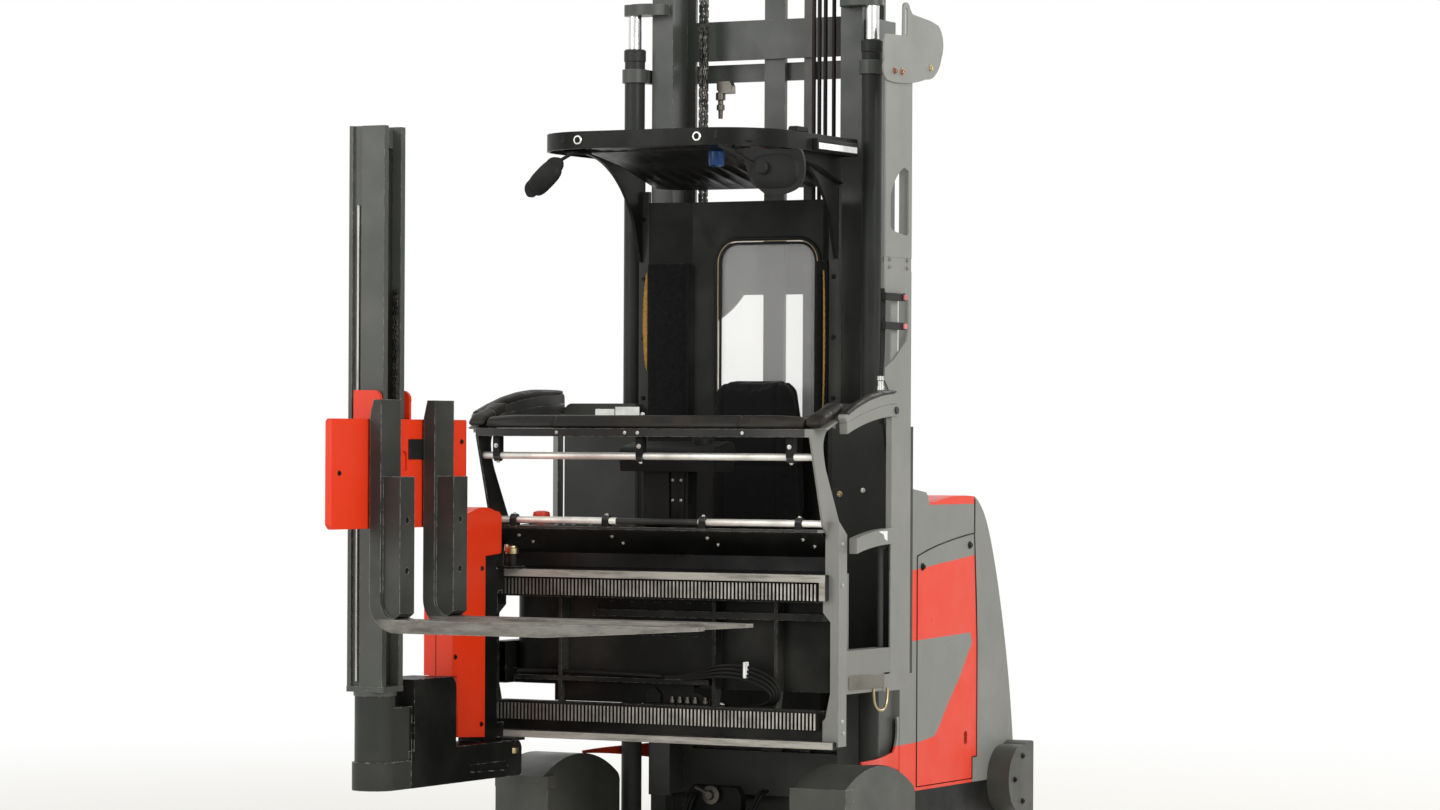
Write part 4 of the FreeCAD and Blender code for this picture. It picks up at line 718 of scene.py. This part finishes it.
# ---- soft goods ----
VOXEL = 0.006
ANYWHERE = lambda co: 1.0


def settled(piece, kind, **values):
    """The piece's mesh with one modifier applied."""
    modifier = piece.modifiers.new(kind, kind)
    for key, value in values.items():
        setattr(modifier, key, value)
    graph = bpy.context.evaluated_depsgraph_get()
    mesh = bpy.data.meshes.new_from_object(piece.evaluated_get(graph))
    piece.modifiers.clear()
    piece.data = mesh


def inflate(piece, cap, hold):
    """Cloth under pressure, from frame 1 to 20; no point moves further than cap * hold(point)."""
    scene = bpy.context.scene
    cloth = piece.modifiers.new("cloth", "CLOTH")
    cloth.settings.quality = 4
    cloth.settings.use_pressure = True
    cloth.settings.uniform_pressure_force = 4
    cloth.settings.effector_weights.gravity = 0
    cloth.point_cache.frame_start = 1
    cloth.point_cache.frame_end = 20
    for number in range(1, 21):
        scene.frame_set(number)
    graph = bpy.context.evaluated_depsgraph_get()
    swollen = [v.co.copy() for v in piece.evaluated_get(graph).data.vertices]
    piece.modifiers.clear()
    scene.frame_set(1)
    for vertex, target in zip(piece.data.vertices, swollen):
        move = target - vertex.co
        limit = cap * hold(vertex.co)
        if move.length > limit:
            move = move * (limit / move.length)
        vertex.co = vertex.co + move


def press_seams(piece, seams):
    """Sewn channels: (axis, place, half width, depth) pulls the surface in along a plane."""
    normals = [v.normal.copy() for v in piece.data.vertices]
    for vertex, normal in zip(piece.data.vertices, normals):
        for axis, at, half, depth in seams:
            away = (vertex.co[axis] - at) / half
            if abs(away) < 3:
                vertex.co = vertex.co - normal * depth * math.exp(-away * away)


def ramp(axis, start, width):
    """How freely a point swells: 0 before start along an axis, 1 past its width."""
    return lambda co: min(1.0, max(0.0, (co[axis] - start) / width))


def soft_piece(name, outline, plane, a, b, material, stands_for, cap, hold, seams, corner, voxel=VOXEL,
        body="cab"):
    """Closed soft form: a rounded prism, remeshed, swollen by up to cap, sewn and smoothed."""
    bm = bmesh.new()
    extrude_outline(bm, outline, plane, a, b)
    piece = place_piece(name, bm, material, body)
    settled(piece, "BEVEL", width=corner, segments=4, limit_method="ANGLE")
    settled(piece, "REMESH", mode="VOXEL", voxel_size=voxel)
    settled(piece, "SMOOTH", factor=0.5, iterations=4)
    inflate(piece, cap, hold)
    press_seams(piece, seams)
    piece.modifiers.new("soft", "SUBSURF").levels = 1
    piece.modifiers["soft"].render_levels = 1
    smoothed(piece.data)
    if stands_for:
        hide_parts(stands_for)


def front_pads():
    """Padded rail on the front frame: a bar and two rising corner pieces."""
    base = 1.5885
    bar = [(-0.838, base), *mm2(-838, 1614, -818, 1628, -782, 1628, -766, 1609), (-0.766, base)]
    soft_piece("front_pad_middle", bar, "yz", -0.622, 0.622, "pad", "front_pad", 0.006,
        ramp(2, base + 0.004, 0.02), ((0, -0.35, 0.004, 0.004), (0, 0.375, 0.004, 0.004),
        (0, 0.415, 0.003, 0.002)), 0.01)
    rise = [(-0.836, base + 0.004), *mm2(-838, 1612, -812, 1634, -740, 1655, -676, 1682, -670, 1646,
        -750, 1618)]
    for side, name in SIDES:
        x0, x1 = sorted((side * 0.626, side * 0.694))
        soft_piece("front_pad_" + name, rise, "yz", x0, x1, "pad", "front_pad", 0.006, ANYWHERE,
            [(1, -0.752, 0.004, 0.003)], 0.012)


def gate_pads():
    """Padded tops of the side gates, on the steel bars."""
    tops = {"left": (0.012, mm2(-735, 1634, -650, 1660.4, -550, 1687.5, -450, 1704.4, -345, 1715.1)),
        "right": (0.024, mm2(-735, 1634, -650, 1652, -550, 1672.5, -450, 1688.6, -350, 1700.4, -250, 1707.9,
        -145, 1715.7))}
    for side, name in SIDES:
        tall, bar = tops[name]
        x0, x1 = sorted((side * 0.7045, side * 0.7375))
        low = [(y, z - 0.003) for y, z in bar]
        high = []
        for index, (y, z) in enumerate(bar):
            swell = math.sin(math.pi * (index + 0.6) / (len(bar) + 0.2))
            high.append((y, z + 0.004 + tall * swell))
        soft_piece("gate_pad_" + name, low + high[::-1], "yz", x0, x1, "pad", None, 0.002, ANYWHERE, (),
            0.005, 0.004, "gate_" + name[0])


def seat():
    """Seat cushion and backrest, each with sewn side bolsters."""
    x0, x1 = -0.092, 0.288
    cushion = [(x0 + 0.02, -0.47), (x1 - 0.02, -0.47), (x1, -0.44), (x1, -0.26), (x0, -0.26), (x0, -0.44)]
    soft_piece("seat_cushion_soft", cushion, "xy", 1.152, 1.215, "seat", "seat_cushion", 0.018,
        ramp(2, 1.156, 0.03), ((0, x0 + 0.075, 0.006, 0.006), (0, x1 - 0.075, 0.006, 0.006),
        (1, -0.4, 0.005, 0.004)), 0.02)
    edge = mm2(20, 1212, 4, 1320, 12, 1600, 35, 1735, 75, 1768)
    back = [(x0 + edge[0][0], edge[0][1]), *((x1 - a, z) for a, z in edge),
        *((x0 + a, z) for a, z in edge[:0:-1])]
    soft_piece("seat_back_soft", back, "xz", -0.212, -0.138, "seat", "seat_back", 0.016,
        ramp(1, -0.139, -0.03), ((0, x0 + 0.085, 0.006, 0.007), (0, x1 - 0.085, 0.006, 0.007),
        (2, 1.46, 0.006, 0.005), (2, 1.62, 0.006, 0.004)), 0.02)


def foam_pads():
    """Glued foam strips beside the window, each with a torn yellow core along its outer edge."""
    steps, tear_top = 80, 2.15
    section = ((0, -0.168), (0.5, -0.1725), (1, -0.17), (0.9, -0.163), (0, -0.16))
    wall = lambda x: -0.1 - max(0.0, -0.2 - x) * 0.195 - max(0.0, x - 0.325) * 0.82 - 0.002
    pads = (("right", -1, -0.35, -0.207, -0.166, -0.349, 1.8, 0.016),
        ("left", 1, 0.328, 0.36, -0.165, 0.3595, 1.66, 0.007))
    for name, out, left, right, front, edge, low, wide in pads:
        plan = [(left, wall(left)), (left, front - 0.004), ((left + right) / 2, front), (right, front + 0.02),
            (right, wall(right))]
        soft_piece("foam_pad_" + name, plan, "xy", 1.568, 2.186, "foam", "side_pads", 0.003,
            lambda co: 1.0 if co.y < -0.135 else 0.0, (), 0.006)
        bm = bmesh.new()
        rows = []
        for i in range(steps + 1):
            z = low + (tear_top - low) * i / steps
            bulge = wide * math.sin(math.pi * i / steps) ** 0.6
            bulge += 0.0012 * math.sin(i * 1.7) * math.sin(i * 0.31)
            rows.append([bm.verts.new((edge + out * bulge * share, y, z)) for share, y in section])
        skin(bm, rows)
        place_piece("torn_foam_" + name, bm, "core")


# ---- hardware ----
COVER_FACE = 0.4702


def rounded_loop(x0, x1, z0, z1, radius, y, steps=7):
    """Points of an upright rectangle with round corners."""
    corners = ((x1 - radius, z1 - radius, 0), (x0 + radius, z1 - radius, 90), (x0 + radius, z0 + radius, 180),
        (x1 - radius, z0 + radius, 270))
    turns = [(x, z, math.radians(start + 90.0 * i / steps)) for x, z,
        start in corners for i in range(steps + 1)]
    return [(x + radius * math.cos(a), y, z + radius * math.sin(a)) for x, z, a in turns]


def window_seal():
    """Rubber seal of the rear window, with a thin brass line between its rings as a painted highlight on the
    rubber.
    """
    for index, (inset, radius, y) in enumerate(((0.002, 0.007, -0.102), (0.018, 0.005, -0.099))):
        line("window_seal_%d" % index, rounded_loop(-0.104 + inset, 0.314 - inset, 1.56 + inset, 2.27 - inset,
            0.085 - inset, y), radius, "rubber", "cab", "POLY", True)
    # The brass line stands in for the shine on the black rubber: a painted highlight.
    line("window_seal_bead", rounded_loop(-0.094, 0.304, 1.57, 2.26, 0.075, -0.1045), 0.0012, "brass", "cab",
        "POLY", True)


def front_tubes():
    """Accessory tubes of the front frame in their clamps; the low one is split behind the console."""
    high, low = (-0.8, 1.493), (-0.735, 1.268)
    high_clamps, low_clamps = (-0.59, -0.02, 0.56), (-0.56, -0.19, 0.19, 0.56)
    end, half = 0.6475, 0.0155
    for index, (y, z, left, right) in enumerate(((*high, -end, end), (*low, -end, -0.15), (*low, 0.172, end))):
        bm = bmesh.new()
        run = right - left
        turned(bm, [(0.0118, 0), (0.0124, 0.001), (0.0124, run - 0.001), (0.0118, run)], (left, y, z), LEFT, 32)
        place_piece("accessory_tube_%d" % index, bm, "tube")
    clamps = [(x, *high, 1.5595) for x in high_clamps] + [(x, *low, 1.2485) for x in low_clamps]
    for number, (x, y, z, reach) in enumerate(clamps):
        up = 1 if reach > z else -1
        round_end = [(y - half * math.cos(a), z - up * 0.021 * math.sin(a))
            for a in (0.6, 1.1, 1.57, 2.04, 2.54)]
        outline = [(y - half, reach), (y - half, z), *round_end, (y + half, z), (y + half, reach)]
        prism("tube_clamp_%d" % number, outline, "yz", x - 0.0135, x + 0.0135, "plastic", 0.002)
    screws("clamp_screws", [(x, -0.8155, 1.527) for x in high_clamps], FRONT, 0.0055)
    screws("clamp_screws_low", [(x, -0.735, 1.2885) for x in low_clamps], UP, 0.0055)
    screws("clamp_nuts", [(x, -0.8, 1.4725) for x in high_clamps], DOWN, 0.0055)


def panel_screws():
    """Screws of the front panel, the rear wall, the post, the side covers and the rear guards."""
    slope = Vector((0, -0.627, -0.779)).normalized()
    high = [(x, -0.7205, 1.2165) for x in (-0.549, -0.176, 0.199, 0.567)]
    low = [(x, -0.69, 1.1935) for x in (-0.51, -0.148, 0.225, 0.596)]
    screws("panel_screws", [Vector(p) + slope * 0.0035 for p in high + low], slope, 0.005, sides=12)
    screws("wall_ring_screws", [(0.427, -0.1655, 1.362)], FRONT, 0.0075, "brass", slot="chrome")
    screws("wall_screws", mm3(518, -165.5, 1376, -365, -165.5, 1640), FRONT, 0.006)
    edge = [(x, -0.1325, z) for x in (-0.383, 0.383) for z in (1.7, 1.914, 2.128, 2.342)]
    screws("flange_screws", edge, FRONT, 0.006, "soot", sides=12)
    posts = [(0.7005, y, z) for y, z in ((-0.69, 0.6), (-0.69, 1.06), (-0.69, 1.2), (-0.68, 0.56))]
    screws("post_screws", posts, LEFT, 0.005, sides=12)
    for side, end in ((1, ""), (-1, "_right")):
        covers = [(side * COVER_FACE, y, z) for y, z in mm2(425, 1094, 832, 1165)]
        screws("cover_fasteners" + end, covers, (side, 0, 0), 0.0095, "soot", "chassis", 16)
    for side, name in SIDES:
        guards = [(side * 0.5602, y, z) for y, z in mm2(1120, 200, 1120, 370, 1050, 285)]
        screws("guard_screws_" + name, guards, (side, 0, 0), 0.008, "soot", "chassis", 12)


def blank_plates():
    """Two plates on the rear wall, without text."""
    for name, outline in (("round", rect(-0.561, 1.61, -0.482, 1.66)),
            ("wide", rect(-0.478, 1.609, -0.379, 1.668))):
        prism("blank_plate_" + name, outline, "xz", -0.1672, -0.1652, "plate", 0.0006)


def racks_dressing():
    """Sliding rollers and their brass bushes at both guides."""
    lathe("guide_bushes", mm2(10, 0, 23, 1, 24, 6, 24, 20, 17, 23, 15, 29),
        mm3(-545, -776, 1148, -545, -776, 452), UP, "brass", "traverse")
    lathe("guide_pins", mm2(8.5, 0, 8.5, 58, 6, 62), mm3(-568, -776, 1120, -568, -776, 440), UP, "bare",
        "traverse")


def apron_hoses():
    """Hoses that loop behind the lower rack, tied once, and the cable beside them."""
    for index in range(4):
        low = index * 0.012
        line("apron_hose_%d" % index, [(-0.02, -0.634, 0.728 - low * 0.3),
            (0.09, -0.64 - low * 0.4, 0.73 - low * 0.3), (0.175, -0.664 - low * 0.4, 0.775 - low),
            (0.312, -0.676 - low * 0.4, 0.784 - low * 1.2), (0.432 - low * 0.7, -0.68, 0.748 - low * 1.2),
            (0.474 - low, -0.68, 0.69 - low * 0.5), (0.44 - low, -0.668, 0.646), (0.37 - low, -0.64, 0.636)],
            0.0052, "rubber")
    prism("hose_tie", rect(-0.7, 0.736, -0.668, 0.792), "yz", 0.326, 0.334, "plate", 0.003)
    line("apron_cable_low", mm3(-600, -640, 733, -300, -646, 741, -20, -640, 729), 0.008, "rubber")


def mast_dressing():
    """Lift chains, hoses and fittings in the head of the moving stage."""
    for name, x in (("lift_chain", -0.276), ("lift_chain_pair", -0.2565)):
        leaf_chain(name, x, 0.1, 1.62, 3.22, 0.0191, 0.014, "stage")
    for index, x in enumerate((0.184, 0.206, 0.23, 0.264)):
        line("mast_hose_%d" % index, [(x, 0.1, 1.55), (x + 0.002, 0.101, 2.0), (x - 0.001, 0.099, 2.6),
            (x, 0.1, 3.236)], 0.0078, "hose", "stage")
    lathe("anchor_fitting", mm2(8, 0, 9, 30, 15, 31, 15, 50, 10, 52, 10, 66, 18, 68, 18, 94, 10, 97, 10, 112),
        [(-0.23, 0.165, 2.722)], UP, "gunmetal", "stage")
    prism("anchor_block", mm2(-222, 2812, -176, 2812, -176, 2838, -186, 2858, -240, 2858, -240, 2826), "xz",
        0.15, 0.18, "gunmetal", 0.002, body="stage")
    screws("crosshead_bolts", [(s * 0.377, -0.0405, 3.108) for s in (1, -1)], FRONT, 0.012, "zinc", "stage")
    screws("upright_bolts", [(0.4525, 0.141, z) for z in (0.9, 1.5, 2.2, 2.88)], LEFT, 0.009, "soot", "chassis")


def carrier_dressing():
    """Hose clamps, cables and connectors in the carrier's cut-outs, and the pulley plate's bolts."""
    for index, z in enumerate((2.034, 1.934)):
        prism("carrier_clamp_%d" % index, [(-0.398, z), (-0.244, z), (-0.24, z + 0.013), (-0.244, z + 0.026),
            (-0.398, z + 0.026)], "yz", 0.7005, 0.716, "plastic")
        prism("carrier_tab_%d" % index, rect(-0.262, z + 0.004, -0.236, z + 0.022), "yz", 0.7165, 0.722, "tab")
    for index in range(4):
        y = -0.388 + 0.008 * index
        line("carrier_cable_%d" % index, [(0.694, y, 2.075), (0.6945, y + 0.002, 2.0), (0.6935, y - 0.002, 1.9),
            (0.692, y + 0.002, 1.82), (0.69, -0.388 + 0.005 * index, 1.772)], 0.0036, "rubber")
    lathe("carrier_connectors", mm2(5, 0, 8.5, 2, 8.5, 16, 6.5, 18, 6.5, 34, 9, 36, 9, 50, 4, 52),
        [(0.6895, -0.389 + 0.0175 * i, 1.722) for i in range(2)], UP, "zinc")
    line("carrier_cable_down", mm3(689.5, -380, 1724, 694, -368, 1600, 704, -345, 1450, 703, -340, 1300,
        703, -340, 1100), 0.004, "rubber")
    screws("pulley_bolts", mm3(706.2, -316, 2828, 706.2, -258, 2828), LEFT, 0.0085, "copper")
    screws("pulley_bolt_end", [(0.7062, -0.025, 2.858)], LEFT, 0.008, "brass", slot="chrome")
    screws("splice_screws", mm3(700.2, -335, 2150, 700.2, -335, 2176, 700.2, -195, 2150, 700.2, -195, 2176),
        LEFT, 0.0048, "grey", sides=12)


def roof_liner():
    """Ribbed liner under the roof: two sheets, joined round their rims."""
    steps = 24
    rows = []
    for y, z, left, right in ((-0.862, 2.553, -0.1, 0.26), (-0.8, 2.551, -0.26, 0.4),
            (-0.6, 2.535, -0.33, 0.42), (-0.4, 2.508, -0.335, 0.42), (-0.136, 2.444, -0.335, 0.42)):
        row = []
        for i in range(steps + 1):
            x = left + (right - left) * i / steps
            rib = 0.004 * math.cos(i * math.pi) if -0.7 < y < -0.3 else 0
            side = 0.01 * (abs(i - 12) / 12) ** 6
            row.append((x, y, z + rib + side))
        rows.append(row)
    bm = bmesh.new()
    rims = []
    for lift in (0.0, 0.005):
        sheet = [[bm.verts.new((x, y, z + lift)) for x, y, z in row] for row in rows]
        for one, two in zip(sheet, sheet[1:]):
            for i in range(steps):
                bm.faces.new((one[i], one[i + 1], two[i + 1], two[i]))
        right, left = ([row[i] for row in sheet[1:-1]] for i in (-1, 0))
        rims.append(sheet[0] + right + sheet[-1][::-1] + left[::-1])
    bridge(bm, *rims)
    place_piece("roof_liner", bm, "soot")


def roof_dressing():
    """Rim bolts, lamps, mirror arm and ribs of the overhead guard."""
    bolts = mm3(-235, -870.2, 2580, 230, -870.2, 2580)
    lathe("rim_rings", mm2(17, 0, 17, 3, 14.5, 5.5, 11, 5.5, 9.5, 3), bolts, FRONT, "zinc")
    lathe("rim_ring_cores", mm2(9.2, 0, 9.2, 4.5, 6, 6), bolts, FRONT, "soot")
    prism("lamp_bar", rect(-0.456, 2.553, -0.146, 2.594), "yz", 0.4585, 0.48, "plastic", 0.004)
    prism("lamp_lens", rect(-0.448, 2.557, -0.154, 2.578), "yz", 0.4802, 0.4835, "lens", 0.001)
    prism("rim_lamp", mm2(-566, 2610.5, -466, 2610.5, -474, 2630, -556, 2630), "yz", 0.418, 0.452, "plastic",
        0.004)
    lathe("spot_lamp", mm2(10, 0, 26, 4, 28, 20, 28, 52, 20, 62, 8, 64), [(0.215, -0.7, 2.486)], UP, "blue")
    line("spot_bracket", mm3(215, -700, 2545, 215, -705, 2575, 215, -700, 2600), 0.006, "plastic")
    roof_liner()
    line("mirror_arm", mm3(330, -900, 2545, 362, -900, 2529, 430, -905, 2498, 481, -905, 2468), 0.0055,
        "plastic")
    lathe("mirror_knob", mm2(20, 0, 23, 4, 23, 16, 17, 22, 6, 23), [(0.506, -0.9095, 2.464)], FRONT, "plastic")
    line("roof_rib_front", mm3(-360, -735, 2551, 0, -760, 2551, 360, -735, 2551), 0.008, "dark")


def mirror_dressing():
    """Domed shells of the two mirrors, nearly rectangular in outline."""
    steps, power = 36, 3.2
    for name, (x, y, z), wide, tall, tilt in (("right", (-0.356, -0.8835, 2.452), 0.07, 0.04, 0.72),
            ("left", (0.54, -0.8835, 2.452), 0.098, 0.062, 0.0)):
        bm = bmesh.new()
        rings = []
        for radius, bulge in ((1.0, 0.0), (0.97, 0.01), (0.8, 0.021), (0.5, 0.027), (0.18, 0.029)):
            ring = []
            for c, s in around(steps):
                squircle = (abs(c) ** power + abs(s) ** power) ** (-1 / power)
                a, b = wide * radius * squircle * c, tall * radius * squircle * s
                ring.append(bm.verts.new((x + a * math.cos(tilt) - b * math.sin(tilt), y - bulge,
                    z + a * math.sin(tilt) + b * math.cos(tilt))))
            rings.append(ring)
        skin(bm, rings)
        place_piece("mirror_shell_" + name, bm, "plastic")


def turret_dressing():
    """Chain, rod, seam and screws of the turret head."""
    leaf_chain("fork_chain", -0.556, -1.5295, 1.5, 2.05, 0.0159, 0.018, "swivel_mast")
    line("fork_mast_rod", mm3(-645, -1621.5, 740, -645, -1621.5, 2326), 0.005, "bare", "swivel_mast", "POLY",
        slot="chrome")
    prism("cover_cap", rect(-1.516, 1.48, -1.423, 1.548), "yz", -0.5118, -0.5075, "plastic", 0.003,
        body="fork_lift")
    screws("cover_screws", mm3(-511.8, -1938, 1436, -511.8, -1175, 1330, -511.8, -1175, 1540), LEFT, 0.006,
        "soot", "fork_lift", 12)
    screws("turret_cover_screws", [(-0.5848, y, z) for y, z in ((-1.09, 0.8), (-1.09, 1.17), (-0.915, 0.56),
        (-0.915, 1.1))], LEFT, 0.006, "soot", "traverse", 12)
    prism("cover_seam", rect(-1.1097, 0.737, -1.1085, 1.232), "yz", -0.652, -0.6495, "soot", 0.0002,
        body="traverse")
    screws("arm_screws", [(-0.5298, y, 0.585) for y in (-1.41, -1.2)], LEFT, 0.0055, "soot", "traverse")


def cab_dressing():
    """Hook at the sill, stop knob, control shelf and desk."""
    line("sill_hook", mm3(703.5, -452, 700, 703.5, -454, 640, 703.5, -400, 612, 703.5, -342, 632,
        703.5, -344, 700), 0.0046, "brass")
    lathe("stop_knob", mm2(16, 0, 16, 18, 28, 20, 31, 32, 28, 44, 12, 48), [(-0.525, -0.61, 1.25)], UP, "red")
    prism("control_shelf", rect(-0.6, -0.64, -0.2, -0.56), "xy", 1.236, 1.249, "soot", 0.003)
    prism("desk_front", rect(-0.116, 1.25, -0.012, 1.47), "xz", -0.616, -0.5985, "plastic", 0.006)
    prism("desk_side", mm2(-10, 1256, 40, 1256, 44, 1462, -10, 1466), "xz", -0.606, -0.5985, "soot", 0.004)
    screws("desk_screws", [(x, -0.6062, z) for x in (-0.001, 0.032) for z in (1.27, 1.34, 1.41, 1.452)], FRONT,
        0.0036, sides=12)
    screws("shelf_studs", [(x, -0.6, 1.2495) for x in (-0.47, -0.4, -0.33, -0.25)], UP, 0.0055)
    line("shelf_wire", mm3(-580, -600, 1252, -480, -615, 1262, -380, -590, 1254, -240, -612, 1258), 0.0035,
        "rubber")
    screws("bar_studs", [(x, -0.8445, 1.5735) for x in (-0.33, -0.06, -0.01, 0.395)], FRONT, 0.0042, sides=12)


def sill_dressing():
    """Worn plate on the left side, a painted highlight on the left gate's lower bar, and the dark fillers under
    the apron.
    """
    prism("sill_wear_plate", mm2(-637, 704, -363, 702, -363, 750, -420, 747, -500, 753, -637, 754), "yz",
        0.7002, 0.7014, "worn_plate", 0.0004)
    # Pale patch at the rear end of the lower gate bar: a painted highlight.
    prism("gate_painted_highlight", mm2(-484, 1240, -416, 1241, -417, 1206, -437, 1214, -446, 1229), "yz", 0.7351, 0.7357,
        "plate", 0.0002, body="gate_l")
    prism("apron_tray", mm2(-455, 634, 160, 634, 160, 660, 100, 680, 100, 712, -440, 712, -455, 700), "xz",
        -0.632, -0.622, "soot", 0.002)
    prism("apron_lip", rect(-0.62, 1.086, 0.62, 1.128), "xz", -0.646, -0.641, "soot", 0.001)
    prism("cab_skirt", rect(-0.4, 0.47, -0.06, 0.6), "xz", -0.092, -0.081, "soot", 0.002)
    fittings = [(x, -0.64, 0.64) for x in (0.02, 0.05, 0.08, 0.11, 0.15)]
    lathe("apron_fittings", mm2(6, 0, 9, 2, 9, 12, 6, 14, 6, 22), fittings, UP, "gunmetal")
    screws("apron_studs", mm3(215, -640, 640, 392, -640, 640), UP, 0.0065)
    prism("apron_bracket", mm2(-85, 640, -25, 640, -25, 668, -45, 690, -65, 690, -85, 668), "xz", -0.646,
        -0.634, "soot", 0.002)


def surface(node, start, direction):
    """First point of a CAD part along a ray, and its normal there."""
    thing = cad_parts[node]
    inverse = thing.matrix_world.inverted()
    hit, place, normal, _ = thing.ray_cast(inverse @ Vector(start),
        (inverse.to_3x3() @ Vector(direction)).normalized())
    return thing.matrix_world @ place, (thing.matrix_world.to_3x3() @ normal).normalized()


def rear_dressing():
    """Cooling slots and fasteners of the rear hood."""
    steps, slot_half, slot_round = 16, 0.12, 0.01
    behind, forward = 3.0, (0, -1, 0)
    for row in range(6):
        z = 0.78 + row * 0.045
        place, normal = surface("rear_hood", (0.0, behind, z), forward)
        up = Vector(LEFT).cross(normal).normalized()
        for side, name in SIDES[::-1]:
            bm = bmesh.new()
            centre = Vector((side * 0.2, place.y, z))
            lip = []
            for c, s in around(steps):
                wide = slot_half if c > 0 else -slot_half
                lip.append(centre + Vector((wide + slot_round * c, 0, 0)) + up * slot_round * s)
            outer = [bm.verts.new(p + normal * 0.0025) for p in lip]
            inner = [bm.verts.new(p - normal * 0.003) for p in lip]
            bm.faces.new(outer)
            bm.faces.new(inner[::-1])
            bridge(bm, outer, inner)
            place_piece("cooling_slot_%d_%s" % (row, name), bm, "soot", "chassis", False)
    for side, name in SIDES:
        low, tilt = surface("rear_hood", (side * 0.4, behind, 0.36), forward)
        screws("hood_bolt_" + name, [low], tilt, 0.01, "soot", "chassis", 12)


def chassis_dressing():
    """Foot lever with its block, hoses and bolts at the front of the chassis."""
    lathe("foot_lever_hub", mm2(12, 0, 30, 2, 34, 10, 34, 22, 18, 26, 14, 40), [(-0.15, -0.015, 0.272)], FRONT,
        "gunmetal", "chassis")
    line("foot_lever", mm3(-145, -48, 272, -170, -49, 287, -205, -49, 299), 0.006, "gunmetal", "chassis")
    prism("foot_block", mm2(-260, 130.5, -40, 130.5, -40, 270, -60, 305, -240, 305, -260, 270), "xz", -0.014,
        0.03, "soot", 0.006, body="chassis")
    for index, x in enumerate((-0.262, -0.246, 0.0, 0.016)):
        line("foot_hose_%d" % index, [(x, -0.03, 0.131), (x, -0.032, 0.2), (x + 0.02, -0.034, 0.25),
            (x + 0.03, -0.012, 0.282), (x + 0.03, 0.03, 0.29)], 0.0065, "rubber", "chassis")
    screws("foot_bolts", [(x, -0.0752, 0.098) for x in (-0.44, -0.3, -0.15, 0.0, 0.15, 0.3, 0.44)], FRONT,
        0.008, "soot", "chassis")


def cover_seams():
    """Rubber lips in the gaps round the side covers and along the rear hood."""
    outline = mm2(381, 298, 381, 1133, 460, 1152, 545, 1168, 630, 1181, 720, 1193, 800, 1202, 874, 1209, 893.5,
        950, 901, 800, 901, 378, 861, 378, 861, 298)
    hood = mm2(875, 1209, 876, 1260, 876, 1335)
    for side, name in SIDES:
        for part, points, radius in (("cover_lip_", outline, 0.0027), ("hood_lip_", hood, 0.0024)):
            line(part + name, [(side * COVER_FACE, y, z) for y, z in points], radius, "rubber", "chassis",
                "POLY")


dress_nodes()
for part in (front_pads, gate_pads, seat, foam_pads, window_seal, front_tubes, panel_screws, blank_plates,
        racks_dressing, apron_hoses, mast_dressing, carrier_dressing, roof_dressing, mirror_dressing,
        turret_dressing, cab_dressing, chassis_dressing, cover_seams, sill_dressing, rear_dressing):
    part()
camera()
stage()
bpy.context.scene.view_settings.view_transform = "Standard"
